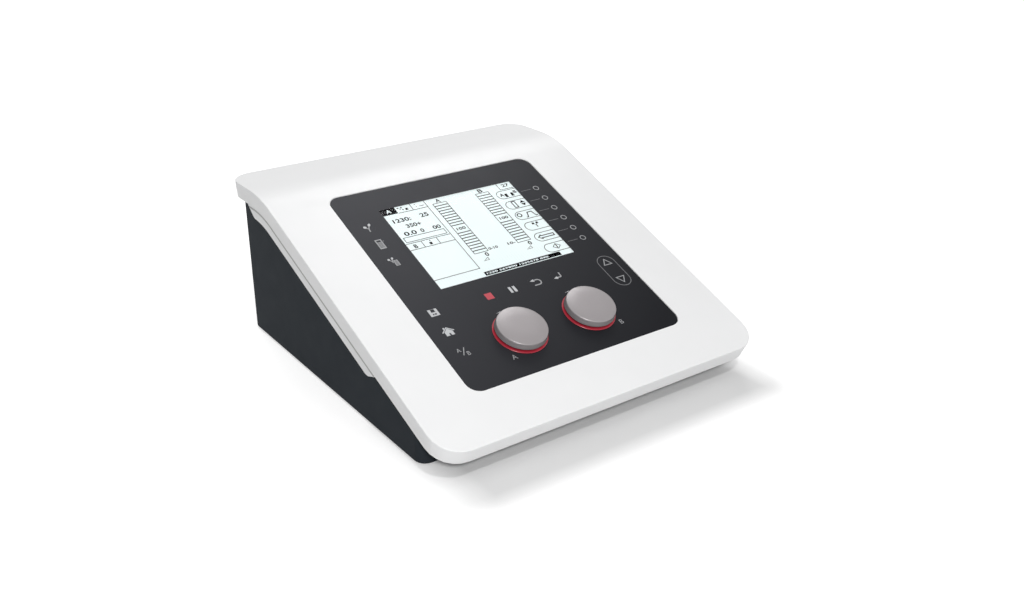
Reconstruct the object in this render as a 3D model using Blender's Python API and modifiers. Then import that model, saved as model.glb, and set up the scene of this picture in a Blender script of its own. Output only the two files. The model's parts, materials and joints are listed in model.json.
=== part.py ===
"""Sloping desk-top therapy console with a display, flush keys and two dials.

Sizes are in metres. The console stands on its feet at z = 0, centred on x and y, low edge towards -y.
Cover and panel heights ("above") are counted from the cover's top surface, along its normal.
"""

import math

import bmesh
import bpy
from mathutils import Vector
from mathutils.geometry import delaunay_2d_cdt

# Fits
SEAT_GAP = 0.0003
KEY_GAP = 0.0002
BORE_GAP = 0.00015
OVERCUT = 0.002

# Control panel, laid out round the display
DISPLAY_WIDTH = 0.1152
DISPLAY_HEIGHT = 0.0871
PANEL_BESIDE = 0.03085
PANEL_BELOW = 0.0885
PANEL_ABOVE = 0.0228
PANEL_CORNER = 0.009
PANEL_SINK = 0.0003
PANEL_THICK = 0.0016
PANE_THICK = 0.0008
MODULE_BORDER = 0.0064
MODULE_THICK = 0.009

# Top cover
FRONT_BORDER = 0.0366
SIDE_BORDER = 0.0433
PANEL_TO_BEND = 0.0008
REAR_STRIP = 0.0396
FRONT_HEIGHT = 0.0251
SLOPE = math.radians(21.63)
BEND_RADIUS = 0.088
FRONT_CORNER = 0.020
REAR_CORNER = 0.017
COVER_WALL = 0.004
COVER_EDGE = 0.0006
RIM_DEPTH = 0.0122
RIM_DRAFT = 0.0007
RIM_WALL = 0.003
LEDGE = 0.005
SKIRT_INSET = 0.0018
SKIRT_WALL = 0.0014
SKIRT_DROP = 0.0096
SKIRT_ROOT = 0.001
SKIRT_FROM_FRONT = 0.080
SKIRT_FROM_REAR = 0.0285
SKIRT_END_RUN = 0.0105
SKIRT_CORNER = 0.008

# Base housing
FOOT_STAND = 0.0015
BASE_INSET = 0.004
BASE_FRONT_SETBACK = 0.0326
BASE_REAR_SETBACK = 0.0127
BASE_CORNER = 0.008
BASE_EDGE = 0.001
BASE_WALL = 0.003
TRAY_INSET = 0.0045
TRAY_WALL = 0.002
CHIN_RECESS = 0.001
CHIN_WALL = 0.0025
VENT_COUNT = 10
VENT_WIDTH = 0.003
VENT_HEIGHT = 0.022
VENT_PITCH = 0.008
VENT_DROP = 0.016

# Feet and cover screws
FOOT_RADIUS = 0.007
FOOT_POCKET = 0.0015
FOOT_FROM_SIDE = 0.022
FOOT_FROM_FRONT = 0.018
FOOT_FROM_REAR = 0.020
SCREW_FROM_SIDE = 0.036
SCREW_FROM_FRONT = 0.016
SCREW_FROM_REAR = 0.0094
SCREW_RADIUS = 0.0015
SCREW_HEAD_RADIUS = 0.0026
SCREW_HEAD = 0.0016
SCREW_BORE_DEPTH = 0.005
COUNTERBORE = 0.0012
BOSS_RADIUS = 0.0026

# Keys
KEY_RADIUS = 0.0055
SOFT_KEY_RADIUS = 0.0042
ARROW_KEY_RADIUS = 0.005
KEY_FACE = 0.0009
KEY_TRAVEL = 0.0004
KEY_STOP_GAP = 0.0001
KEY_STEM_RADIUS = 0.0018
KEY_COLUMN = 0.0142
KEY_PITCH = 0.0189
ROW_DROP = 0.0176
ROW_PITCH = 0.0197
UPPER_KEY_DROP = 0.0138
SOFT_PITCH = 0.01236
SOFT_DROP = 0.014
ARROW_DROP = 0.0184
ARROW_PITCH = 0.0174

# Dials
DIAL_PITCH = 0.0585
DIAL_RISE = 0.0338
DIAL_RADIUS = 0.01765
DIAL_FOOT_RADIUS = 0.0182
DIAL_TOP = 0.006
DIAL_UNDER = 0.0022
DIAL_CHAMFER = 0.0005
DIAL_SKIRT = 0.0022
DIAL_ROOF = 0.0009
DIAL_HUB_RADIUS = 0.006
RING_RADIUS = 0.019
RING_INNER_RADIUS = 0.0125
RING_TOP = 0.0005
SHAFT_RADIUS = 0.003
ENCODER_SIDE = 0.013
ENCODER_HEIGHT = 0.0065
ENCODER_FLOOR = 0.0008
BUSH_RADIUS = 0.0045
BUSH_TOP = 0.0019
NUT_RADIUS = 0.0066
NUT_TOP = 0.0016

# Circuit boards
BOARD_THICK = 0.0016
KEYPAD_DROP = 0.0071
KEYPAD_INSET = 0.006
KEYPAD_WINDOW_GAP = 0.002
SWITCH_SIDE = 0.006
SWITCH_BODY = 0.0036
SWITCH_HEIGHT = 0.0054
SWITCH_STEM_RADIUS = 0.0017
PILLAR_RADIUS = 0.0025
PILLAR_INSET = 0.010
PILLAR_RISES = (0.014, 0.086, 0.186)
POST_RADIUS = 0.003
POST_HEIGHT = 0.008
POST_INSET = 0.005
BOARD_MARGIN = 0.008
MAIN_BOARD = (0.110, 0.070)
OUTPUT_BOARD = (0.110, 0.050)
SUPPLY_BOARD = (0.080, 0.105)
CONNECTOR_ROOM = 0.026
OUTPUT_CORE = (0.030, 0.026, 0.024)
SUPPLY_CORE = (0.038, 0.032, 0.030)
CORE_BEVEL = 0.002
SINK_WIDTH = 0.014
SINK_LENGTH = 0.070
SINK_HEIGHT = 0.032
SINK_FINS = 4
SINK_FIN = 0.0016
SINK_WEB = 0.006

# Rear connections, heights counted outwards from the rear panel's outer face
REAR_PANEL = (0.208, 0.052)
REAR_PANEL_THICK = 0.002
REAR_PANEL_RISE = 0.040
REAR_PANEL_LAP = 0.006
REAR_BAY_CORNER = 0.004
FLANGE = 0.002
INLET_PLACE = -0.074
INLET_BODY = (0.027, 0.020)
INLET_LIP = 0.002
INLET_BACK = -0.020
INLET_POCKET = (0.0245, 0.0165)
INLET_POCKET_CUT = 0.0045
INLET_POCKET_DEPTH = 0.0165
PIN_SECTION = (0.002, 0.004)
PIN_TIP = -0.0007
PIN_TAIL = -0.023
PIN_SPREAD = 0.007
PIN_OFFSET = 0.002
SWITCH_PLACE = -0.044
ROCKER_HALF_WIDTH = 0.0052
ROCKER_HALF_LENGTH = 0.0082
ROCKER_CREST = 0.0032
ROCKER_DIP = 0.0019
ROCKER_SIDE = 0.0006
ROCKER_HUB = (0.0032, -0.0042)
ROCKER_PIVOT = -0.0005
ROCKER_TILT = math.radians(10)
ROCKER_END_GAP = 0.0003
SWITCH_WALL = 0.0012
SWITCH_LIP = 0.001
SWITCH_BACK = -0.012
SOCKET_PLACES = (0.010, 0.040)
SOCKET_RADIUS = 0.0075
SOCKET_BORE = 0.0055
SOCKET_DEPTH = 0.0133
SOCKET_LIP = 0.002
SOCKET_FLOOR = 0.003
HEAD_SOCKET_PLACE = 0.076
HEAD_SOCKET_RADIUS = 0.0105
HEAD_SOCKET_BORE = 0.008
HEAD_SOCKET_DEPTH = 0.016

# Facets
CORNER_STEPS = 6
EDGE_STEPS = 3
BEND_STEPS = 6
ROUND_STEPS = 16
DIAL_STEPS = 48
POST_STEPS = 8
MERGE = 1e-6
ALL_TRIANGLES = 0

# Sizes that follow
PANEL_WIDTH = DISPLAY_WIDTH + 2 * PANEL_BESIDE
PANEL_LENGTH = PANEL_BELOW + DISPLAY_HEIGHT + PANEL_ABOVE
COVER_WIDTH = PANEL_WIDTH + 2 * SIDE_BORDER
SLOPE_LENGTH = FRONT_BORDER + PANEL_LENGTH + PANEL_TO_BEND
BEND_LENGTH = BEND_RADIUS * SLOPE
COVER_LENGTH = SLOPE_LENGTH + BEND_LENGTH + REAR_STRIP
COVER_DEPTH = SLOPE_LENGTH * math.cos(SLOPE) + BEND_RADIUS * math.sin(SLOPE) + REAR_STRIP
FRONT_Y = -(COVER_DEPTH + COVER_EDGE * math.sin(SLOPE)) / 2
BASE_FRONT = FRONT_Y + BASE_FRONT_SETBACK
BASE_REAR = FRONT_Y + COVER_DEPTH - BASE_REAR_SETBACK
BASE_WIDTH = COVER_WIDTH - 2 * BASE_INSET
BASE_FLOOR = FOOT_STAND + BASE_WALL
PANEL_TOP = -PANEL_SINK
PANEL_UNDER = PANEL_TOP - PANEL_THICK
RECESS_FLOOR = PANEL_UNDER - SEAT_GAP
KEYPAD_TOP = PANEL_UNDER - KEYPAD_DROP
BASE_TOP = -COVER_WALL - SEAT_GAP
CHIN_UNDER = -RIM_DEPTH + CHIN_RECESS
CHIN_FLOOR = CHIN_UNDER + CHIN_WALL
PANE_UNDER = PANEL_TOP - PANE_THICK
DISPLAY_Y = PANEL_BELOW + DISPLAY_HEIGHT / 2 - PANEL_LENGTH / 2
DIAL_Y = DIAL_RISE - PANEL_LENGTH / 2
ROW_Y = PANEL_BELOW - ROW_DROP - PANEL_LENGTH / 2
COLUMN_X = PANEL_WIDTH / 2 - KEY_COLUMN
REAR_PANEL_Y = BASE_REAR - BASE_WALL - SEAT_GAP

# Colour, roughness and metallic value of each finish
FINISHES = {
    "white_moulding": ((0.83, 0.83, 0.82), 0.35, 0.0),
    "anthracite_moulding": ((0.027, 0.032, 0.036), 0.5, 0.0),
    "charcoal_panel": ((0.042, 0.044, 0.048), 0.4, 0.0),
    "clear_pane": ((0.8, 0.85, 0.85), 0.05, 0.0),
    "display_face": ((0.9, 0.98, 0.98), 0.2, 0.0),
    "satin_silver": ((0.39, 0.365, 0.376), 0.35, 0.6),
    "red_ring": ((0.39, 0.034, 0.054), 0.4, 0.0),
    "zinc": ((0.55, 0.55, 0.56), 0.35, 1.0),
    "circuit_board": ((0.02, 0.11, 0.05), 0.5, 0.0),
    "core": ((0.06, 0.055, 0.05), 0.6, 0.0),
    "black_moulding": ((0.012, 0.012, 0.013), 0.45, 0.0),
    "rear_plate": ((0.10, 0.105, 0.11), 0.45, 0.3),
    "brass": ((0.55, 0.40, 0.16), 0.3, 1.0),
    "foot_rubber": ((0.02, 0.02, 0.02), 0.8, 0.0),
}

parts = None
cutters = None


def clear_scene():
    for obj in list(bpy.data.objects):
        bpy.data.objects.remove(obj, do_unlink=True)


def new_collection(name):
    collection = bpy.data.collections.new(name)
    bpy.context.scene.collection.children.link(collection)
    return collection


def finish(name):
    """The material of that name, made when it is first asked for."""
    material = bpy.data.materials.get(name)
    if material:
        return material
    colour, roughness, metallic = FINISHES[name]
    material = bpy.data.materials.new(name)
    material.use_nodes = True
    shader = material.node_tree.nodes["Principled BSDF"]
    shader.inputs["Base Color"].default_value = (*colour, 1.0)
    shader.inputs["Roughness"].default_value = roughness
    shader.inputs["Metallic"].default_value = metallic
    return material


def add_part(name, mesh, finish_name, parent=None, location=(0, 0, 0), rotation=(0, 0, 0)):
    obj = bpy.data.objects.new(name, mesh)
    parts.objects.link(obj)
    if not mesh.materials:
        mesh.materials.append(finish(finish_name))
    obj.parent = parent
    obj.location = location
    obj.rotation_euler = rotation
    return obj


def add_cutter(name, mesh, parent=None, location=(0, 0, 0), rotation=(0, 0, 0)):
    obj = bpy.data.objects.new(name, mesh)
    cutters.objects.link(obj)
    obj.hide_render = True
    obj.display_type = "WIRE"
    obj.parent = parent
    obj.location = location
    obj.rotation_euler = rotation
    return obj


def boolean(target, tool, operation):
    modifier = target.modifiers.new(f"{operation.lower()} {tool.name}", "BOOLEAN")
    modifier.operation = operation
    modifier.object = tool
    modifier.solver = "EXACT"


def cut(target, *tools):
    for tool in tools:
        boolean(target, tool, "DIFFERENCE")


def join(target, *tools):
    for tool in tools:
        boolean(target, tool, "UNION")


def bake(obj):
    """Makes the object's modifiers part of its mesh, and removes the tools that they used."""
    bpy.context.view_layer.update()
    tools = [modifier.object for modifier in obj.modifiers if modifier.type == "BOOLEAN"]
    evaluated = obj.evaluated_get(bpy.context.evaluated_depsgraph_get())
    mesh = bpy.data.meshes.new_from_object(evaluated)
    obj.modifiers.clear()
    obj.data = mesh
    for tool in tools:
        bpy.data.objects.remove(tool, do_unlink=True)


def as_mesh(name, shape):
    mesh = bpy.data.meshes.new(name)
    shape.to_mesh(mesh)
    shape.free()
    return mesh


def circle(x, y, radius, steps=ROUND_STEPS):
    turns = [2 * math.pi * k / steps for k in range(steps)]
    return [(x + radius * math.cos(a), y + radius * math.sin(a)) for a in turns]


def rectangle(x, y, width, height):
    return [
        (x - width / 2, y - height / 2),
        (x + width / 2, y - height / 2),
        (x + width / 2, y + height / 2),
        (x - width / 2, y + height / 2),
    ]


def rounded(width, near, far, near_radius, far_radius, inset=0.0):
    """Outline symmetric in x, from y = near to y = far, with rounded corners, drawn in by inset."""
    half = width / 2 - inset
    least = SEAT_GAP
    near_radius = max(near_radius - inset, least)
    far_radius = max(far_radius - inset, least)
    corners = (
        (half - near_radius, near + inset + near_radius, near_radius, -90),
        (half - far_radius, far - inset - far_radius, far_radius, 0),
        (far_radius - half, far - inset - far_radius, far_radius, 90),
        (near_radius - half, near + inset + near_radius, near_radius, 180),
    )
    points = []
    for x, y, radius, start in corners:
        for k in range(CORNER_STEPS + 1):
            turn = math.radians(start + 90 * k / CORNER_STEPS)
            points.append((x + radius * math.cos(turn), y + radius * math.sin(turn)))
    return points


def cover_outline(inset=0.0):
    return rounded(COVER_WIDTH, 0, COVER_LENGTH, FRONT_CORNER, REAR_CORNER, inset)


def base_outline(inset=0.0):
    return rounded(BASE_WIDTH, BASE_FRONT, BASE_REAR, BASE_CORNER, BASE_CORNER, inset)


def panel_outline(inset=0.0):
    half = PANEL_LENGTH / 2
    return rounded(PANEL_WIDTH, -half, half, PANEL_CORNER, PANEL_CORNER, inset)


def at_height(outline, height):
    return [(x, y, height) for x, y in outline]


def is_solid(point, outlines):
    """Whether a point lies inside the first outline and outside the others."""
    x, y = point
    crossed = 0
    for outline in outlines:
        for (ax, ay), (bx, by) in zip(outline, outline[1:] + outline[:1]):
            if (ay > y) != (by > y) and x < ax + (y - ay) * (bx - ax) / (by - ay):
                crossed += 1
    return crossed % 2 == 1


def plate(name, outlines, low, high):
    """Flat plate between two heights: the first outline is its edge, the others are holes."""
    points = [Vector(point) for outline in outlines for point in outline]
    edges = []
    for outline in outlines:
        first = len(edges)
        edges += [(first + k, first + (k + 1) % len(outline)) for k in range(len(outline))]
    places, _, triangles, *_ = delaunay_2d_cdt(points, edges, [], ALL_TRIANGLES, MERGE)
    shape = bmesh.new()
    verts = [shape.verts.new((x, y, low)) for x, y in places]
    sheet = []
    for corners in triangles:
        middle = sum((places[k] for k in corners), Vector((0, 0))) / len(corners)
        if is_solid(middle, outlines):
            sheet.append(shape.faces.new([verts[k] for k in corners]))
    raised = bmesh.ops.extrude_face_region(shape, geom=sheet)["geom"]
    upper = [part for part in raised if isinstance(part, bmesh.types.BMVert)]
    bmesh.ops.translate(shape, verts=upper, vec=(0, 0, high - low))
    bmesh.ops.recalc_face_normals(shape, faces=shape.faces)
    mesh = bpy.data.meshes.new(name)
    shape.to_mesh(mesh)
    shape.free()
    return mesh


def loft(name, rings):
    """Closed solid through rings of as many points each, with flat ends."""
    shape = bmesh.new()
    loops = [[shape.verts.new(point) for point in ring] for ring in rings]
    for low, high in zip(loops, loops[1:]):
        for k, corner in enumerate(low):
            after = (k + 1) % len(low)
            shape.faces.new((corner, low[after], high[after], high[k]))
    shape.faces.new(loops[0])
    shape.faces.new(loops[-1])
    bmesh.ops.recalc_face_normals(shape, faces=shape.faces)
    return as_mesh(name, shape)


def block(name, boxes):
    """Boxes in one mesh, each given by its size and centre."""
    shape = bmesh.new()
    for size, centre in boxes:
        made = bmesh.ops.create_cube(shape, size=1.0)
        bmesh.ops.scale(shape, verts=made["verts"], vec=size)
        bmesh.ops.translate(shape, verts=made["verts"], vec=centre)
    return as_mesh(name, shape)


def rods(name, places, radius, low, high, steps=ROUND_STEPS):
    """Upright round bars in one mesh, one at each place."""
    shape = bmesh.new()
    for x, y in places:
        made = bmesh.ops.create_cone(
            shape, cap_ends=True, segments=steps, radius1=radius, radius2=radius, depth=high - low
        )
        bmesh.ops.translate(shape, verts=made["verts"], vec=(x, y, (low + high) / 2))
    return as_mesh(name, shape)


def profile_mesh(name, profile, closed=False):
    """Outline of a turned piece in the x-z plane, running down its outer side."""
    count = len(profile)
    edges = [(k, k + 1) for k in range(count - 1)]
    if closed:
        edges.append((count - 1, 0))
    mesh = bpy.data.meshes.new(name)
    mesh.from_pydata([(radius, 0, height) for radius, height in profile], edges, [])
    return mesh


def turn(obj, steps):
    screw = obj.modifiers.new("turn", "SCREW")
    screw.axis = "Z"
    screw.angle = 2 * math.pi
    screw.steps = steps
    screw.render_steps = steps
    screw.use_merge_vertices = True
    screw.merge_threshold = MERGE
    screw.use_normal_calculate = False
    return obj


def on_cover(x, along, above):
    """Point over the cover: across it, along its profile from the front edge, and above its surface."""
    bent = min(max(along - SLOPE_LENGTH, 0.0), BEND_LENGTH)
    angle = SLOPE - bent / BEND_RADIUS
    straight = min(along, SLOPE_LENGTH)
    flat = max(along - SLOPE_LENGTH - BEND_LENGTH, 0.0)
    y = FRONT_Y + straight * math.cos(SLOPE) + flat
    z = FRONT_HEIGHT + straight * math.sin(SLOPE)
    y += BEND_RADIUS * (math.sin(SLOPE) - math.sin(angle)) - above * math.sin(angle)
    z += BEND_RADIUS * (math.cos(angle) - math.cos(SLOPE)) + above * math.cos(angle)
    return Vector((x, y, z))


def roll_over(mesh):
    """Bends a mesh that was modelled flat, with y along the cover, over the cover's profile."""
    shape = bmesh.new()
    shape.from_mesh(mesh)
    bmesh.ops.triangulate(shape, faces=shape.faces)
    for k in range(BEND_STEPS + 1):
        along = SLOPE_LENGTH + BEND_LENGTH * k / BEND_STEPS
        everything = shape.verts[:] + shape.edges[:] + shape.faces[:]
        bmesh.ops.bisect_plane(
            shape, geom=everything, dist=1e-7, plane_co=(0, along, 0), plane_no=(0, 1, 0)
        )
    for vert in shape.verts:
        vert.co = on_cover(*vert.co)
    shape.to_mesh(mesh)
    shape.free()
    return mesh


def screw_places():
    """Where the cover screws are, as node ending, x, distance along the cover and tilt."""
    across = COVER_WIDTH / 2 - SCREW_FROM_SIDE
    rear = COVER_LENGTH - SCREW_FROM_REAR
    return (
        ("front_left", -across, SCREW_FROM_FRONT, SLOPE),
        ("front_right", across, SCREW_FROM_FRONT, SLOPE),
        ("rear_left", -across, rear, 0.0),
        ("rear_right", across, rear, 0.0),
    )


def skirt_mesh():
    """Both side skirts, flat: strips with slanted ends and rounded lower corners."""
    top = -RIM_DEPTH + SKIRT_ROOT
    bottom = -RIM_DEPTH - SKIRT_DROP
    front = SKIRT_FROM_FRONT
    rear = COVER_LENGTH - SKIRT_FROM_REAR
    slant = math.atan2(SKIRT_DROP, SKIRT_END_RUN)
    setback = SKIRT_CORNER * math.tan(slant / 2)
    outline = [(rear, top), (front, top), (front, -RIM_DEPTH)]
    ends = ((front + SKIRT_END_RUN + setback, 0), (rear - SKIRT_END_RUN - setback, 1))
    for middle, is_rear in ends:
        for k in range(EDGE_STEPS + 1):
            turned = slant * (k / EDGE_STEPS - 1 + is_rear)
            outline.append(
                (middle + SKIRT_CORNER * math.sin(turned), bottom + SKIRT_CORNER * (1 - math.cos(turned)))
            )
    outline.append((rear, -RIM_DEPTH))
    outer = COVER_WIDTH / 2 - SKIRT_INSET
    shape = bmesh.new()
    for side in (-1, 1):
        rings = [[(side * x, s, n) for s, n in outline] for x in (outer - SKIRT_WALL, outer)]
        shape.from_mesh(loft("skirt side", rings))
    return as_mesh("skirt", shape)


def make_top_cover():
    """Moulded desk, made flat as a drafted shell and then rolled over its bend."""
    rings = []
    for k in range(EDGE_STEPS + 1):
        turn_in = math.pi / 2 * k / EDGE_STEPS
        inset = COVER_EDGE * (1 - math.sin(turn_in))
        rings.append(at_height(cover_outline(inset), COVER_EDGE * (math.cos(turn_in) - 1)))
    rings.append(at_height(cover_outline(RIM_DRAFT), -RIM_DEPTH))
    cover = add_part("top_cover", loft("top_cover", rings), "white_moulding")
    low = -RIM_DEPTH - OVERCUT
    hollow = loft(
        "cover hollow",
        [
            at_height(cover_outline(RIM_WALL), -COVER_WALL),
            at_height(cover_outline(RIM_WALL + RIM_DRAFT), -RIM_DEPTH),
            at_height(cover_outline(RIM_WALL + RIM_DRAFT), low),
        ],
    )
    recess = loft(
        "panel recess",
        [
            at_height(panel_outline(-SEAT_GAP), OVERCUT),
            at_height(panel_outline(-SEAT_GAP), RECESS_FLOOR),
            at_height(panel_outline(LEDGE), RECESS_FLOOR),
            at_height(panel_outline(LEDGE), -COVER_WALL - OVERCUT),
        ],
    )
    places = [(x, along) for _, x, along, _ in screw_places()]
    boss_root = -COVER_WALL / 2
    boss_end = CHIN_FLOOR + SEAT_GAP
    bosses = rods("screw bosses", places, BOSS_RADIUS, boss_end, boss_root)
    bores = rods("boss bores", places, SCREW_RADIUS + KEY_GAP, boss_end - OVERCUT, -SCREW_BORE_DEPTH)
    cut(cover, add_cutter("cover hollow", hollow))
    middle = FRONT_BORDER + PANEL_LENGTH / 2
    cut(cover, add_cutter("panel recess", recess, location=(0, middle, 0)))
    join(cover, add_cutter("skirt", skirt_mesh()), add_cutter("screw bosses", bosses))
    cut(cover, add_cutter("boss bores", bores))
    bake(cover)
    roll_over(cover.data)


def board_places():
    """Centre of each floor board, laid against the base's side walls and clear of the connectors."""
    side = BASE_WIDTH / 2 - BASE_WALL - BOARD_MARGIN
    rear = REAR_PANEL_Y - REAR_PANEL_THICK - CONNECTOR_ROOM
    output_y = rear - OUTPUT_BOARD[1] / 2
    main_y = rear - OUTPUT_BOARD[1] - BOARD_MARGIN - MAIN_BOARD[1] / 2
    return {
        "output_board": (-side + OUTPUT_BOARD[0] / 2, output_y, OUTPUT_BOARD),
        "main_board": (-side + MAIN_BOARD[0] / 2, main_y, MAIN_BOARD),
        "power_supply_board": (side - SUPPLY_BOARD[0] / 2, rear - SUPPLY_BOARD[1] / 2, SUPPLY_BOARD),
    }


def foot_places():
    across = BASE_WIDTH / 2 - FOOT_FROM_SIDE
    front = BASE_FRONT + FOOT_FROM_FRONT
    rear = BASE_REAR - FOOT_FROM_REAR
    return {
        "foot_front_left": (-across, front),
        "foot_front_right": (across, front),
        "foot_rear_left": (-across, rear),
        "foot_rear_right": (across, rear),
    }


def make_base_housing():
    """Wedge tub whose walls stop under the cover, with a chin and a rear lip inside the cover's rim."""
    top = on_cover(0, COVER_LENGTH, 0).z
    rings = []
    for k in range(EDGE_STEPS + 1):
        lift = math.pi / 2 * k / EDGE_STEPS
        inset = BASE_EDGE * (1 - math.sin(lift))
        rings.append(at_height(base_outline(inset), FOOT_STAND + BASE_EDGE * (1 - math.cos(lift))))
    rings.append(at_height(base_outline(), top))
    base = add_part("base_housing", loft("base_housing", rings), "anthracite_moulding")

    tray = plate("tray", [cover_outline(TRAY_INSET)], CHIN_UNDER, BASE_TOP + OVERCUT)
    tray_hollow = plate("tray hollow", [cover_outline(TRAY_INSET + TRAY_WALL)], CHIN_FLOOR, RIM_DEPTH)
    above = rectangle(0, COVER_LENGTH / 2, 2 * COVER_WIDTH, 2 * COVER_LENGTH)
    trim = plate("under cover", [above], BASE_TOP, COVER_DEPTH)
    hollow = plate("base hollow", [base_outline(BASE_WALL)], BASE_FLOOR, top + OVERCUT)
    join(base, add_cutter("tray", roll_over(tray)))
    cut(base, add_cutter("under cover", roll_over(trim)))
    cut(base, add_cutter("tray hollow", roll_over(tray_hollow)), add_cutter("base hollow", hollow))

    posts = []
    for x, y, (width, length) in board_places().values():
        posts += rectangle(x, y, width - 2 * POST_INSET, length - 2 * POST_INSET)
    post_top = BASE_FLOOR + POST_HEIGHT - SEAT_GAP
    standing = rods("board posts", posts, POST_RADIUS, BASE_FLOOR - BASE_WALL / 2, post_top, POST_STEPS)
    join(base, add_cutter("board posts", standing))

    pockets = rods(
        "foot pockets",
        foot_places().values(),
        FOOT_RADIUS + SEAT_GAP,
        FOOT_STAND - OVERCUT,
        FOOT_STAND + FOOT_POCKET,
    )
    cut(base, add_cutter("foot pockets", pockets))
    for ending, x, along, tilt in screw_places():
        seat = CHIN_UNDER + COUNTERBORE
        hole = profile_mesh(
            f"screw hole {ending}",
            [
                (0, CHIN_FLOOR + OVERCUT),
                (SCREW_RADIUS + SEAT_GAP, CHIN_FLOOR + OVERCUT),
                (SCREW_RADIUS + SEAT_GAP, seat),
                (SCREW_HEAD_RADIUS + SEAT_GAP, seat),
                (SCREW_HEAD_RADIUS + SEAT_GAP, CHIN_UNDER - OVERCUT / 2),
                (0, CHIN_UNDER - OVERCUT / 2),
            ],
        )
        place = on_cover(x, along, 0)
        tool = add_cutter(f"screw hole {ending}", hole, location=place, rotation=(tilt, 0, 0))
        cut(base, turn(tool, ROUND_STEPS))

    bay_size = [size - 2 * REAR_PANEL_LAP for size in REAR_PANEL]
    half_height = bay_size[1] / 2
    bay = plate(
        "rear bay",
        [rounded(bay_size[0], -half_height, half_height, REAR_BAY_CORNER, REAR_BAY_CORNER)],
        -OVERCUT,
        BASE_WALL + OVERCUT,
    )
    cut(base, add_cutter("rear bay", bay, parent=rear_frame))
    vent_z = on_cover(0, COVER_LENGTH, CHIN_UNDER).z - VENT_DROP
    spread = (VENT_COUNT - 1) / 2
    size = (VENT_WIDTH, BASE_WALL + 2 * OVERCUT, VENT_HEIGHT)
    middle = BASE_REAR - BASE_WALL / 2
    vents = block("vents", [(size, (VENT_PITCH * (k - spread), middle, vent_z)) for k in range(VENT_COUNT)])
    cut(base, add_cutter("vents", vents))


def make_feet():
    top = FOOT_STAND + FOOT_POCKET - SEAT_GAP
    edge = FOOT_STAND / 3
    profile = [(0, top), (FOOT_RADIUS, top), (FOOT_RADIUS, edge), (FOOT_RADIUS - edge, 0), (0, 0)]
    mesh = profile_mesh("foot", profile)
    for name, (x, y) in foot_places().items():
        turn(add_part(name, mesh, "foot_rubber", location=(x, y, 0)), ROUND_STEPS)


def make_cover_screws():
    shoulder = CHIN_UNDER + COUNTERBORE - SEAT_GAP
    tip = -SCREW_BORE_DEPTH - SEAT_GAP
    profile = [
        (0, tip),
        (SCREW_RADIUS, tip),
        (SCREW_RADIUS, shoulder),
        (SCREW_HEAD_RADIUS, shoulder),
        (SCREW_HEAD_RADIUS, shoulder - SCREW_HEAD),
        (0, shoulder - SCREW_HEAD),
    ]
    mesh = profile_mesh("cover_screw", profile)
    for ending, x, along, tilt in screw_places():
        place = on_cover(x, along, 0)
        screw = add_part(f"cover_screw_{ending}", mesh, "zinc", location=place, rotation=(tilt, 0, 0))
        turn(screw, ROUND_STEPS)


def key_places():
    """Each key's place on the panel and face radius."""
    display_top = PANEL_BELOW + DISPLAY_HEIGHT - PANEL_LENGTH / 2
    upper = display_top - UPPER_KEY_DROP
    soft = display_top - SOFT_DROP
    arrow = PANEL_BELOW - ARROW_DROP - PANEL_LENGTH / 2
    keys = {}
    for k, name in enumerate(("lead", "card", "lead_card")):
        keys[f"key_{name}"] = (-COLUMN_X, upper - k * KEY_PITCH, KEY_RADIUS)
    for k, name in enumerate(("save", "home", "channel")):
        keys[f"key_{name}"] = (-COLUMN_X, ROW_Y - k * KEY_PITCH, KEY_RADIUS)
    for k, name in enumerate(("stop", "pause", "back", "enter")):
        keys[f"key_{name}"] = (ROW_PITCH * (k - 1.5), ROW_Y, KEY_RADIUS)
    for k in range(6):
        keys[f"key_soft_{k + 1}"] = (COLUMN_X, soft - k * SOFT_PITCH, SOFT_KEY_RADIUS)
    for k, name in enumerate(("up", "down")):
        keys[f"key_{name}"] = (COLUMN_X, arrow - k * ARROW_PITCH, ARROW_KEY_RADIUS)
    return keys


def dial_places():
    return {"a": (-DIAL_PITCH / 2, DIAL_Y), "b": (DIAL_PITCH / 2, DIAL_Y)}


def pillar_places():
    across = PANEL_WIDTH / 2 - PILLAR_INSET
    return [(side * across, rise - PANEL_LENGTH / 2) for side in (-1, 1) for rise in PILLAR_RISES]


def make_control_panel():
    """Panel plate with its display opening and holes, and pillars that carry the keypad board."""
    holes = [rectangle(0, DISPLAY_Y, DISPLAY_WIDTH, DISPLAY_HEIGHT)]
    holes += [circle(x, y, radius + KEY_GAP) for x, y, radius in key_places().values()]
    holes += [circle(x, y, BUSH_RADIUS + KEY_GAP) for x, y in dial_places().values()]
    mesh = plate("control_panel", [panel_outline(), *holes], PANEL_UNDER, PANEL_TOP)
    panel = add_part("control_panel", mesh, "charcoal_panel", parent=panel_frame)
    root = PANEL_UNDER + PANEL_THICK / 2
    pillars = rods("pillars", pillar_places(), PILLAR_RADIUS, KEYPAD_TOP + SEAT_GAP, root, POST_STEPS)
    join(panel, add_cutter("pillars", pillars, parent=panel_frame))


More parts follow.
